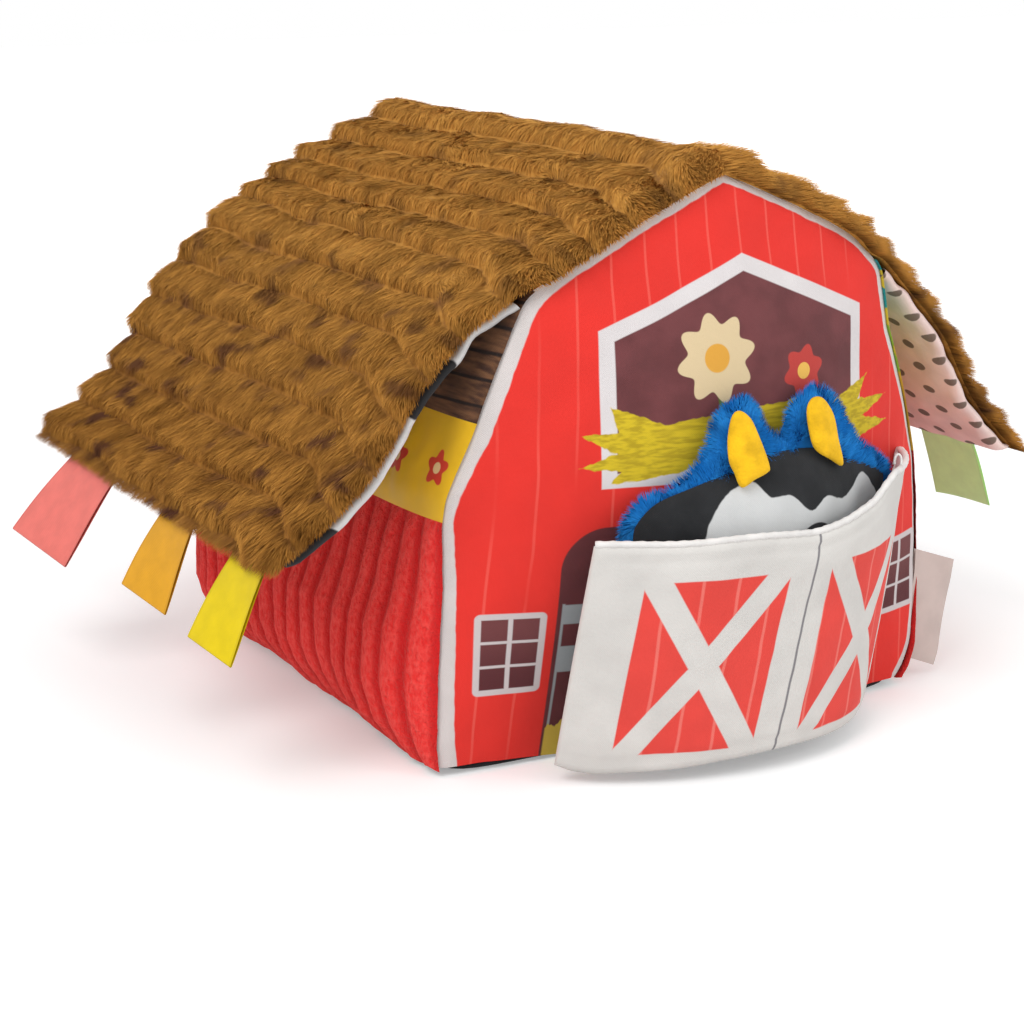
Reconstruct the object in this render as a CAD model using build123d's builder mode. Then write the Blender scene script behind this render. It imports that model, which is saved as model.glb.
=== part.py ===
from build123d import *
from math import asin, atan2, cos, degrees, hypot, radians, sin, sqrt
import os

os.makedirs("parts", exist_ok=True)

# A stuffed cloth barn for babies.  Millimetres, X to the right as seen from the
# front, Y to the back, Z up, origin at the middle of the face it rests on.

# ---- Driving dimensions: the stuffed body ----
base_width = 200.0
body_depth = 200.0
eave_height = 91.0
eave_set_in = 1.4           # eaves and kinks, in from the base's edges
kink_height = 167.0
kink_set_in = 30.6
apex_height = 201.5
widest_height = 105.0       # where the gables bulge most
bow_at_floor = 3.0          # bulge of a gable at the floor, widest line and apex
bow_at_widest = 30.0
bow_at_apex = 17.0
side_bow_floor = 4.0        # bulge of the side walls
side_bow_middle = 13.0
side_bow_eave = 2.5
panel_cloth = 3.0           # printed panel with its quilting
wall_cloth = 3.0
base_cloth = 2.5
satin_band_height = 34.0

# ---- Driving dimensions: the plush roof ----
crown_overhang_front = 14.0     # ends of the roof, out from the body's corners
crown_overhang_back = 31.0
crown_rib_count = 4         # ribs on each slope, beside the one on the ridge
flap_rib_count = 7
pile_depth = 5.5            # crown plush at the bottom of a groove
rib_rise = 3.5
flap_length = 122.0
flap_droop = 44.0           # degrees below level
flap_arch = 2.0
flap_lining = 1.3
flap_wadding = 2.6
flap_pile = 2.6
flap_root_radius = 4.5
hinge_gap = 0.3

# ---- Driving dimensions: the ribbon tabs on the flap hems ----
ribbon_thickness = 1.0
ribbon_root_radius = 0.9

# ---- Driving dimensions: the door flap ----
door_bottom = 8.0
door_top = 86.5
door_hinge_set_in = 12.0    # hinge line, in from the base's right edge
door_end_x = -63.0
door_crown_x = 5.0
door_end_stand_off = 13.0   # middle layer at the free end, out from the gable
door_face_cloth = 1.3
door_wadding_depth = 2.4
door_lining_cloth = 1.3
door_root_radius = 2.4
piping_radius = 1.3
piping_sides = 12
loop_radius = 2.0
loop_thread = 0.8
seam_width = 8.0

# ---- Driving dimensions: the cow ----
cow_depth = 18.0            # at the door's crown
cow_wall_gap = 0.4
cow_door_gap = 2.5
cow_bottom = 4.0
cow_head_top = 118.0
cow_half_width = 57.0
cow_middle_x = -1.0
cow_corner_radius = 26.0
cow_face_cloth = 2.0
cow_plush = 4.0
horn_height = 30.0
horn_half_width = 7.0
horn_thickness = 7.0
horn_spread = 18.0
horn_lean = 8.0             # both horns sit to the right of the middle
horn_splay = 2.0
horn_rise = 13.0            # tips above the top of the head
horn_stand = 2.0            # horns stand this proud of the brow
blue_horn_scale = 1.35      # plush shapes behind the horns

# ---- Driving dimensions: the side label ----
label_width = 16.0
label_height = 44.0
label_bottom = 9.0
label_thickness = 0.8
label_gap = 0.3

# ---- Derived places ----
half_width = base_width / 2
half_depth = body_depth / 2
eave_half_width = half_width - eave_set_in
kink_half_width = half_width - kink_set_in
crown_front = half_depth + crown_overhang_front
crown_back = half_depth + crown_overhang_back
flap_front = half_depth
flap_back = crown_back
reach = half_depth + 60.0           # past every bulge
side_reach = half_width + 35.0
door_thickness = door_face_cloth + door_wadding_depth + door_lining_cloth
flap_inner = flap_lining + flap_wadding     # inner layers, below the plush backing
flap_swing_radius = flap_pile + rib_rise + hinge_gap
gable_radius = (eave_half_width**2 + bow_at_widest**2) / (2 * bow_at_widest)
gable_centre = (0, gable_radius - half_depth - bow_at_widest)


def save(piece, name):
    piece.label = name
    export_step(piece, f"parts/{name}.step")


def unit(angle):
    """A unit vector at an angle in degrees."""
    return Vector(cos(radians(angle)), sin(radians(angle)))


def wall_line(x):
    """Distance of the front gable's fullest line in front of the middle."""
    return sqrt(gable_radius**2 - x**2) - gable_centre[1]


def gable_block(inset):
    """The space between the two bulging gables, set in by inset."""
    crown = wall_line(0) - inset
    corner = wall_line(side_reach) - inset
    floor = half_depth + bow_at_floor - inset
    apex = half_depth + bow_at_apex - inset
    with BuildPart() as block:
        with BuildSketch(Plane.XY):
            with BuildLine():
                ThreePointArc((-side_reach, -corner), (0, -crown), (side_reach, -corner))
                Line((side_reach, -corner), (side_reach, corner))
                ThreePointArc((side_reach, corner), (0, crown), (-side_reach, corner))
                Line((-side_reach, corner), (-side_reach, -corner))
            make_face()
        extrude(amount=apex_height)
        with BuildSketch(Plane.YZ):
            with BuildLine():
                ThreePointArc((floor, 0), (crown, widest_height), (apex, apex_height))
                Line((apex, apex_height), (-apex, apex_height))
                ThreePointArc((-apex, apex_height), (-crown, widest_height), (-floor, 0))
                Line((-floor, 0), (floor, 0))
            make_face()
        extrude(amount=side_reach, both=True, mode=Mode.INTERSECT)
    return block.part


def side_block(inset):
    """The space between the bulging side walls, set in by inset, and under the roof."""
    floor = half_width + side_bow_floor - inset
    middle = half_width + side_bow_middle - inset
    corner = half_width - inset
    eave = eave_half_width + side_bow_eave - inset
    kink = kink_half_width - inset
    with BuildPart() as block:
        with BuildSketch(Plane.XY):
            with BuildLine():
                ThreePointArc((corner, -half_depth), (middle, 0), (corner, half_depth))
                Line((corner, half_depth), (corner, reach))
                Line((corner, reach), (-corner, reach))
                Line((-corner, reach), (-corner, half_depth))
                ThreePointArc((-corner, half_depth), (-middle, 0), (-corner, -half_depth))
                Line((-corner, -half_depth), (-corner, -reach))
                Line((-corner, -reach), (corner, -reach))
                Line((corner, -reach), (corner, -half_depth))
            make_face()
        extrude(amount=kink_height)
        with BuildSketch(Plane.XZ):
            with BuildLine():
                ThreePointArc((floor, 0), (middle, eave_height / 2), (eave, eave_height))
                Line((eave, eave_height), (kink, kink_height))
                Line((kink, kink_height), (-kink, kink_height))
                Line((-kink, kink_height), (-eave, eave_height))
                ThreePointArc((-eave, eave_height), (-middle, eave_height / 2), (-floor, 0))
                Line((-floor, 0), (floor, 0))
            make_face()
        extrude(amount=reach, both=True, mode=Mode.INTERSECT)
        with BuildSketch(Plane.XZ):
            Polygon(
                (-kink_half_width, kink_height),
                (kink_half_width, kink_height),
                (0, apex_height),
                align=None,
            )
        extrude(amount=reach, both=True)
    return block.part


# ---- The stuffed body: gable panels, side walls, base and filling ----
outer_gables = gable_block(0)
inner_gables = gable_block(panel_cloth)
outer_sides = side_block(0)
inner_sides = side_block(wall_cloth)

with BuildPart() as whole_body:
    add(outer_gables)
    add(outer_sides, mode=Mode.INTERSECT)

with BuildPart() as base_panel:
    add(whole_body.part)
    split(bisect_by=Plane.XY.offset(base_cloth), keep=Keep.BOTTOM)
save(base_panel.part, "base_panel")

with BuildPart() as body_above_base:
    add(whole_body.part)
    split(bisect_by=Plane.XY.offset(base_cloth), keep=Keep.TOP)

for name, kept_side in (("front_gable_panel", Keep.TOP), ("back_gable_panel", Keep.BOTTOM)):
    with BuildPart() as gable_panel:
        add(body_above_base.part)
        add(inner_gables, mode=Mode.SUBTRACT)
        split(bisect_by=Plane.XZ, keep=kept_side)
    save(gable_panel.part, name)

with BuildPart() as side_walls:
    add(body_above_base.part)
    add(inner_gables, mode=Mode.INTERSECT)
    add(inner_sides, mode=Mode.SUBTRACT)

with BuildPart() as body_filling:
    add(body_above_base.part)
    add(inner_gables, mode=Mode.INTERSECT)
    add(inner_sides, mode=Mode.INTERSECT)
save(body_filling.part, "body_filling")

wall_bands = (
    ("corduroy_wall", 0, eave_height),
    ("satin_band", eave_height, eave_height + satin_band_height),
    ("upper_wall", eave_height + satin_band_height, kink_height),
)
for side, kept_side in (("left", Keep.BOTTOM), ("right", Keep.TOP)):
    for name, band_low, band_high in wall_bands:
        with BuildPart() as wall:
            add(side_walls.part)
            split(bisect_by=Plane.YZ, keep=kept_side)
            split(bisect_by=Plane.XY.offset(band_low), keep=Keep.TOP)
            split(bisect_by=Plane.XY.offset(band_high), keep=Keep.BOTTOM)
        save(wall.part, f"{side}_{name}")


# ---- The plush roof: crown between the kinks, and two loose flaps below them ----
wall_angle = degrees(atan2(kink_height - eave_height, eave_half_width - kink_half_width))
crown_slope = degrees(atan2(apex_height - kink_height, kink_half_width))
kink_bisector = unit((90 - wall_angle + 90 - crown_slope) / 2)
kink_corner = Vector(kink_half_width, kink_height)
flap_hinge = kink_corner + kink_bisector * (flap_root_radius + hinge_gap)
flap_along = unit(-flap_droop)
flap_out = unit(90 - flap_droop)
flap_radius = ((flap_length / 2) ** 2 + flap_arch**2) / (2 * flap_arch)
flap_half_angle = degrees(asin(flap_length / 2 / flap_radius))
flap_centre = flap_hinge + flap_along * (flap_length / 2) - flap_out * (flap_radius - flap_arch)


def flap_point(share, height):
    """A point of the right flap, from hinge (0) to hem (1), at a height above its middle layer."""
    angle = radians(flap_half_angle * (2 * share - 1))
    return flap_centre + (flap_out * cos(angle) + flap_along * sin(angle)) * (flap_radius + height)


def flap_layer_sketch(low, high):
    """One smooth layer of the right flap, cut clear of the root roll."""
    with BuildSketch(Plane.XZ.offset(-flap_back)) as layer:
        with BuildLine():
            ThreePointArc(flap_point(0, low), flap_point(0.5, low), flap_point(1, low))
            Line(flap_point(1, low), flap_point(1, high))
            ThreePointArc(flap_point(1, high), flap_point(0.5, high), flap_point(0, high))
            Line(flap_point(0, high), flap_point(0, low))
        make_face()
        with Locations(flap_hinge):
            Circle(flap_root_radius, mode=Mode.SUBTRACT)
    return layer.sketch


def ribs(grooves, rise):
    """Rounded ribs from groove to groove, each standing up to the left of its chord."""
    arcs = []
    for start, end in zip(grooves, grooves[1:]):
        chord = end - start
        crest = (start + end) * 0.5 + Vector(-chord.Y, chord.X).normalized() * rise
        arcs.append(ThreePointArc(start, crest, end))
    return arcs


slope_length = hypot(kink_half_width, apex_height - kink_height)
slope_along = unit(crown_slope)             # up the left slope
slope_out = unit(90 + crown_slope)
left_kink = Vector(-kink_half_width, kink_height)
rib_pitch = slope_length / (crown_rib_count + 0.5)
left_grooves = [
    left_kink + slope_along * (rib_pitch * count) + slope_out * pile_depth
    for count in range(crown_rib_count + 1)
]
right_grooves = [Vector(-point.X, point.Y) for point in reversed(left_grooves)]

with BuildPart() as roof_crown_plush:
    with BuildSketch(Plane.XZ.offset(-crown_back)):
        with BuildLine():
            add(ribs(left_grooves + right_grooves, rib_rise))
            Line(right_grooves[-1], (kink_half_width, kink_height))
            Polyline((kink_half_width, kink_height), (0, apex_height), left_kink)
            Line(left_kink, left_grooves[0])
        make_face()
        with Locations(flap_hinge, (-flap_hinge.X, flap_hinge.Y)):
            Circle(flap_swing_radius, mode=Mode.SUBTRACT)
    extrude(amount=crown_back + crown_front)
save(roof_crown_plush.part, "roof_crown_plush")

lining_low = -flap_inner
wadding_low = lining_low + flap_lining
pile_high = flap_pile
flap_grooves = [
    flap_point(count / flap_rib_count, pile_high) for count in range(flap_rib_count + 1)
]

with BuildPart() as flap_plush:
    with BuildSketch(Plane.XZ.offset(-flap_back)):
        with BuildLine():
            add(ribs(flap_grooves, rib_rise))
            Line(flap_grooves[-1], flap_point(1, 0))
            ThreePointArc(flap_point(1, 0), flap_point(0.5, 0), flap_point(0, 0))
            Line(flap_point(0, 0), flap_grooves[0])
        make_face()
        with Locations(flap_hinge):
            Circle(flap_root_radius)
    extrude(amount=flap_back + flap_front)

wadding_sketch = flap_layer_sketch(wadding_low, 0)
with BuildPart() as flap_wadding_layer:
    extrude(wadding_sketch, amount=flap_back + flap_front, dir=(0, -1, 0))

lining_sketch = flap_layer_sketch(lining_low, wadding_low)
with BuildPart() as flap_lining_layer:
    extrude(lining_sketch, amount=flap_back + flap_front, dir=(0, -1, 0))

for name, layer in (
    ("plush", flap_plush),
    ("wadding", flap_wadding_layer),
    ("lining", flap_lining_layer),
):
    save(layer.part, f"right_flap_{name}")
    save(layer.part.mirror(Plane.YZ), f"left_flap_{name}")


# ---- Ribbon tabs: sewn into the flap hems, hanging on in line with the flap ----
hem_angle = -flap_droop - flap_half_angle
hem_along = unit(hem_angle)
hem_out = unit(hem_angle + 90)
ribbon_pin = flap_point(1, 0) + hem_along * (ribbon_root_radius + hinge_gap)

# Name, side, middle as a share of the body's half depth, width, length.
ribbon_tabs = (
    ("left_coral_ribbon", -1, 0.70, 46.0, 40.0),
    ("left_orange_ribbon", -1, -0.17, 27.0, 34.0),
    ("left_yellow_ribbon", -1, -0.80, 25.0, 34.0),
    ("right_green_ribbon", 1, -0.50, 32.0, 31.0),
    ("right_blue_ribbon", 1, 0.12, 27.0, 33.0),
    ("right_violet_ribbon", 1, 0.84, 27.0, 35.0),
)


def ribbon_tab(middle_y, width, length):
    """A folded ribbon under the right flap's hem."""
    with BuildPart() as tab:
        with BuildSketch(Plane.XZ.offset(-middle_y - width / 2)):
            with BuildLine():
                half = hem_out * (ribbon_thickness / 2)
                fold = ribbon_pin + hem_along * (length - ribbon_thickness / 2)
                Line(ribbon_pin + half, fold + half)
                ThreePointArc(fold + half, fold + hem_along * (ribbon_thickness / 2), fold - half)
                Line(fold - half, ribbon_pin - half)
                Line(ribbon_pin - half, ribbon_pin + half)
            make_face()
            with Locations(ribbon_pin):
                Circle(ribbon_root_radius)
        extrude(amount=width)
    return tab.part


for name, side, middle_share, width, length in ribbon_tabs:
    tab = ribbon_tab(middle_share * half_depth, width, length)
    if side < 0:
        tab = tab.mirror(Plane.YZ)
    save(tab, name)


# ---- The door flap: three cloth layers on one upright arc, standing off round the cow ----
door_hinge_x = half_width - door_hinge_set_in
seam_inner_x = door_hinge_x - seam_width / 2
door_hinge_y = -(wall_line(seam_inner_x) + hinge_gap + door_root_radius)
door_crown_stand_off = cow_wall_gap + cow_depth + cow_door_gap + door_thickness / 2
door_arc = ThreePointArc(
    (door_end_x, -(wall_line(door_end_x) + door_end_stand_off)),
    (door_crown_x, -(wall_line(door_crown_x) + door_crown_stand_off)),
    (door_hinge_x, door_hinge_y),
)
door_centre = door_arc.arc_center
door_end_ray = door_arc @ 0 - door_centre
door_hinge_ray = door_arc @ 1 - door_centre
door_end_angle = degrees(atan2(door_end_ray.Y, door_end_ray.X))
door_hinge_angle = degrees(atan2(door_hinge_ray.Y, door_hinge_ray.X))
door_inner_radius = door_arc.radius - door_thickness / 2


def door_point(share, height):
    """A point in plan from the free end (0) to the hinge (1), at a height above the inner face."""
    angle = door_end_angle + (door_hinge_angle - door_end_angle) * share
    return door_centre + unit(angle) * (door_inner_radius + height)


def door_layer(low, high):
    """A door layer from the bottom hem to the top edge, between two heights off the inner face."""
    with BuildPart() as layer:
        with BuildSketch(Plane.XY.offset(door_bottom)):
            with BuildLine():
                ThreePointArc(door_point(0, high), door_point(0.5, high), door_point(1, high))
                Line(door_point(1, high), door_point(1, low))
                ThreePointArc(door_point(1, low), door_point(0.5, low), door_point(0, low))
                Line(door_point(0, low), door_point(0, high))
            make_face()
        extrude(amount=door_top - door_bottom)
    return layer.part


def upright_round(centre, radius, bottom, top):
    """A round upright bar."""
    with BuildPart() as bar:
        with BuildSketch(Plane.XY.offset(bottom)):
            with Locations(centre):
                Circle(radius)
        extrude(amount=top - bottom)
    return bar.part


hinge_point = (door_hinge_x, door_hinge_y)
edge_roll = upright_round(hinge_point, door_root_radius, door_bottom, door_top)
wadding_height = door_lining_cloth
face_height = door_lining_cloth + door_wadding_depth

with BuildPart() as door_face:
    add(door_layer(face_height, door_thickness))
    add(edge_roll)
save(door_face.part, "door_face")

with BuildPart() as door_wadding:
    add(door_layer(wadding_height, face_height))
    add(edge_roll, mode=Mode.SUBTRACT)
save(door_wadding.part, "door_wadding")

with BuildPart() as door_lining:
    add(door_layer(0, wadding_height))
    add(edge_roll, mode=Mode.SUBTRACT)
save(door_lining.part, "door_lining")

piping_start = door_point(0, door_thickness / 2) + Vector(0, 0, door_top + piping_radius)
with BuildPart() as door_piping:
    with BuildSketch(Plane(piping_start, z_dir=unit(door_end_angle + 90))):
        RegularPolygon(piping_radius, piping_sides)
    revolve(
        axis=Axis(door_centre, (0, 0, 1)),
        revolution_arc=door_hinge_angle - door_end_angle,
    )
save(door_piping.part, "door_piping")

with BuildPart() as door_thread_loop:
    loop_plane = Plane(
        (door_hinge_x, door_hinge_y, door_top + 2 * piping_radius + loop_radius + loop_thread / 2),
        z_dir=(1, 1, 0),
    )
    with BuildSketch(loop_plane) as loop_outline:
        Circle(loop_radius + loop_thread / 2)
        Circle(loop_radius - loop_thread / 2, mode=Mode.SUBTRACT)
    extrude(amount=loop_thread / 2, both=True)
save(door_thread_loop.part, "door_thread_loop")

with BuildPart() as door_seam:
    seam_front = -door_hinge_y - door_root_radius
    with BuildSketch(Plane.XY.offset(door_bottom)):
        with Locations((door_hinge_x, -(half_depth + seam_front) / 2)):
            Rectangle(seam_width, seam_front - half_depth)
    extrude(amount=door_top - door_bottom)
    add(whole_body.part, mode=Mode.SUBTRACT)
    add(
        upright_round(hinge_point, door_root_radius + hinge_gap, door_bottom, door_top),
        mode=Mode.SUBTRACT,
    )
save(door_seam.part, "door_seam")


# ---- The cow: a stuffed head between the door and the gable ----
head_height = cow_head_top - cow_bottom
# Corners of half the head's outline, as shares of its half width and height.
head_shape = ((0.45, 0), (0.93, 0.3), (1.0, 0.72), (0.72, 1.0))
cow_front_radius = door_inner_radius - cow_door_gap
cow_inner_radius = cow_front_radius - cow_face_cloth


def head_block(inset):
    """The head's outline run through from front to back, set in by inset."""
    right_half = [
        (
            cow_middle_x + share_x * (cow_half_width - inset),
            cow_bottom + inset + share_z * (head_height - 2 * inset),
        )
        for share_x, share_z in head_shape
    ]
    left_half = [(2 * cow_middle_x - x, z) for x, z in reversed(right_half)]
    with BuildPart() as block:
        with BuildSketch(Plane.XZ) as outline:
            Polygon(*right_half, *left_half, align=None)
            fillet(outline.vertices(), cow_corner_radius - inset)
        extrude(amount=reach + half_depth)
    return block.part


def horn(scale, front, back):
    """A pair of upright leaf shapes on the brow, between two depths."""
    half = horn_half_width * scale
    height = horn_height * scale
    foot_z = cow_head_top + horn_rise - horn_height
    with BuildPart() as horns:
        for side in (-1, 1):
            foot = (cow_middle_x + side * horn_spread + horn_lean, foot_z)
            tip = (foot[0] + side * horn_splay, foot_z + height)
            middle = ((foot[0] + tip[0]) / 2, (foot[1] + tip[1]) / 2)
            with BuildSketch(Plane.XZ.offset(back)):
                with BuildLine():
                    ThreePointArc(foot, (middle[0] - half, middle[1]), tip)
                    ThreePointArc(tip, (middle[0] + half, middle[1]), foot)
                make_face()
            extrude(amount=front - back)
    return horns.part


cow_top = cow_head_top + horn_height
behind_door = upright_round(door_centre, cow_front_radius, 0, cow_top)
behind_face = upright_round(door_centre, cow_inner_radius, 0, cow_top)

with BuildPart() as cow_head:
    add(head_block(0))
    add(behind_door, mode=Mode.INTERSECT)
    add(upright_round(gable_centre, gable_radius + cow_wall_gap, 0, cow_top), mode=Mode.SUBTRACT)

with BuildPart() as cow_face:
    add(cow_head.part)
    add(behind_face, mode=Mode.SUBTRACT)
save(cow_face.part, "cow_face")

with BuildPart() as cow_filling:
    add(head_block(cow_plush))
    add(behind_face, mode=Mode.INTERSECT)
    add(
        upright_round(gable_centre, gable_radius + cow_wall_gap + cow_plush, 0, cow_top),
        mode=Mode.SUBTRACT,
    )
save(cow_filling.part, "cow_filling")

horn_front = cow_front_radius - door_centre.Y + horn_stand
horn_back = horn_front - horn_thickness
blue_horns = horn(blue_horn_scale, horn_back, horn_back - horn_thickness)
with BuildPart() as cow_back_plush:
    add(cow_head.part)
    add(blue_horns)
    add(cow_face.part, mode=Mode.SUBTRACT)
    add(cow_filling.part, mode=Mode.SUBTRACT)
save(cow_back_plush.part, "cow_back_plush")

with BuildPart() as cow_horns:
    add(horn(1.0, horn_front, horn_back))
    add(cow_face.part, mode=Mode.SUBTRACT)
    add(cow_back_plush.part, mode=Mode.SUBTRACT)
    add(cow_filling.part, mode=Mode.SUBTRACT)
horn_pair = cow_horns.part.solids().sort_by(Axis.X)
save(horn_pair[0], "cow_left_horn")
save(horn_pair[-1], "cow_right_horn")


# ---- The side label, sewn into the front right seam ----
with BuildPart() as side_label:
    with BuildSketch(Plane.XY.offset(label_bottom)):
        with Locations((half_width + label_width / 2 + label_gap, label_thickness - half_depth)):
            Rectangle(label_width, label_thickness)
    extrude(amount=label_height)
    add(whole_body.part, mode=Mode.SUBTRACT)
save(side_label.part, "side_label")
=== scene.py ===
import math

import bpy
import numpy as np
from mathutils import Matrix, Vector, noise


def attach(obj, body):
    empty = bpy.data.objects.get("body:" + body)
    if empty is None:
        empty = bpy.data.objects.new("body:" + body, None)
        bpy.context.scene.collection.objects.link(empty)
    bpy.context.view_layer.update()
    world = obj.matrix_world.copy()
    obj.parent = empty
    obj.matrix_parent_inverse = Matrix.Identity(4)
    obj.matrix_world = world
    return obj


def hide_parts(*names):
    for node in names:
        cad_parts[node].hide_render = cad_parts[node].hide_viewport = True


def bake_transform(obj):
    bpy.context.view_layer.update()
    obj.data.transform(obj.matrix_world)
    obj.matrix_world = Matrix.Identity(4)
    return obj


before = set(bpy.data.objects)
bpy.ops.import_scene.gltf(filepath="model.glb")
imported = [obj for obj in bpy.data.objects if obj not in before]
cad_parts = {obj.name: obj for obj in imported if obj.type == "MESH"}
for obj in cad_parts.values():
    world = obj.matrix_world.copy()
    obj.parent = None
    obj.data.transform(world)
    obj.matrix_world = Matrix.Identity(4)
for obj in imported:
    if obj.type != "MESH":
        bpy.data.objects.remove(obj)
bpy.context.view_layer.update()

MM = 0.001
RNG = np.random.default_rng(20)
WORDS = {-1: "left", 1: "right"}

# Sizes in millimetres, as in the part's source.
HALF_DEPTH = 100.0
EAVE_X, EAVE_Z = 98.6, 91.0
KINK_X, KINK_Z = 70.5, 168.5
APEX_Z = 203.5
SATIN_TOP = 125.0
BOW_FLOOR, BOW_WIDEST, BOW_APEX = 3.0, 30.0, 17.0
WIDEST_Z, BOW_RISE = 105.0, 96.5
GABLE_RADIUS, GABLE_CENTRE_Y = 177.03, 47.03
FLAP_CENTRE = np.array([-528.681, -540.590])
FLAP_RADIUS = 931.25
FLAP_HALF_ANGLE = 3.7558
FLAP_DROOP = 44.0
ROOF_BACK = 131.0
DOOR_CENTRE = np.array([2.41, -44.925])
DOOR_INNER = 105.94
DOOR_ANGLES = (-127.10, -37.878)
DOOR_LOW, DOOR_HIGH = 8.0, 86.5
# The door leans in by this at the floor, and out from there by this up to its top.
DOOR_LEAN_IN, DOOR_LEAN_OUT = 4.5, 7.0


# ---- Points and meshes ----
def at(*parts):
    """Points out of their coordinates, each an array or a number."""
    return np.stack(np.broadcast_arrays(*parts), -1)


def clamp(value):
    return np.clip(value, 0, 1)


def smooth_step(t):
    t = clamp(t)
    return t * t * (3 - 2 * t)


def mirrored(point, y, side):
    """Points of one side, from the x and z of the right side."""
    return at(point[..., 0] * side, y, point[..., 1])


def unit(a):
    return a / np.maximum(np.linalg.norm(a, axis=-1, keepdims=True), 1e-9)


def grid_of(rows, columns):
    """The row's value and the column's value at each place of a grid."""
    return np.meshgrid(rows, columns, indexing="ij")


def there_and_back(face, other=None):
    """Columns over one face and back over the other, to be closed to a ring."""
    return np.concatenate([face, (face if other is None else other)[:, ::-1]], 1)


def add_object(name, data):
    obj = bpy.data.objects.new(name, data)
    bpy.context.scene.collection.objects.link(obj)
    return obj


def make_object(name, verts, faces):
    mesh = bpy.data.meshes.new(name)
    mesh.from_pydata((verts.reshape(-1, 3) * MM).tolist(), [], faces)
    mesh.update()
    mesh.shade_smooth()
    return add_object(name, mesh)


def grid_faces(rows, columns, closed=False):
    i = np.arange(rows * columns).reshape(rows, columns)
    if closed:
        i = np.concatenate([i, i[:, :1]], 1)
    return at(i[:-1, :-1], i[:-1, 1:], i[1:, 1:], i[1:, :-1]).reshape(-1, 4).tolist()


def grid_object(name, points, closed=False, flip=False):
    """points is a rows by columns by 3 array. A closed grid joins its last column to its first."""
    faces = grid_faces(*points.shape[:2], closed)
    if flip:
        faces = [face[::-1] for face in faces]
    return make_object(name, points, faces)


def set_uv(obj, name, u, v=0, scale=1):
    """u and v are one value per vertex, or one for all of them."""
    values = np.broadcast_to(at(np.ravel(u), np.ravel(v)) * scale, (len(obj.data.vertices), 2))
    layer = obj.data.uv_layers.new(name=name)
    index = np.empty(len(obj.data.loops), np.int32)
    obj.data.loops.foreach_get("vertex_index", index)
    layer.data.foreach_set("uv", values.astype(np.float32)[index].ravel())


def ripple(points, scale, seed=0.0):
    """Smooth noise from -1 to 1 at each point of a (..., 3) array, scale in millimetres."""
    flat = points.reshape(-1, 3) / scale + seed
    return np.array([noise.noise(Vector(p)) for p in flat]).reshape(points.shape[:-1])


def join(objects, name):
    """One mesh object out of several, keeping their UV maps and materials."""
    with bpy.context.temp_override(
        active_object=objects[0], selected_editable_objects=objects, selected_objects=objects
    ):
        bpy.ops.object.join()
    objects[0].name = name
    return objects[0]


# ---- Shader helpers ----
def plug(tree, socket, value):
    """Link a field to a socket, or set the socket to a number, vector or colour."""
    if isinstance(value, Field):
        tree.links.new(value.socket, socket)
    elif socket.type == "RGBA":
        socket.default_value = (*value, 1.0)
    else:
        socket.default_value = value


def add_node(tree, kind, inputs=(), **settings):
    """A new node with its settings, and with fields or values on its inputs."""
    node = tree.nodes.new("ShaderNode" + kind)
    for name, value in settings.items():
        setattr(node, name, value)
    for name, value in dict(inputs).items():
        plug(tree, node.inputs[name], value)
    return node


def new_field(tree, kind, inputs=(), out=0, **settings):
    return Field(tree, add_node(tree, kind, inputs, **settings).outputs[out])


def operation(kind):
    return lambda self, *others: self.math(kind, *others)


class Field:
    """A value in a shader that is worked with ordinary arithmetic."""

    def __init__(self, tree, socket):
        self.tree = tree
        self.socket = socket

    def math(self, kind, *others):
        return new_field(self.tree, "Math", enumerate((self, *others)), operation=kind)

    __add__ = __radd__ = operation("ADD")
    __sub__ = operation("SUBTRACT")
    __mul__ = __rmul__ = operation("MULTIPLY")
    __truediv__ = operation("DIVIDE")
    abs = operation("ABSOLUTE")
    lower = operation("MINIMUM")
    upper = operation("MAXIMUM")
    sin = operation("SINE")
    part = operation("FRACT")
    power = operation("POWER")

    def __rsub__(self, other):
        return (self * -1) + other

    def __neg__(self):
        return self * -1

    def step(self, low, high):
        """0 below low and 1 above high, smooth between them."""
        inputs = {"Value": self, "From Min": low, "From Max": high}
        return new_field(self.tree, "MapRange", inputs, interpolation_type="SMOOTHSTEP")

    def inside(self, soft=0.3):
        """1 where a signed distance is below 0."""
        return 1 - self.step(-soft, soft)


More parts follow.
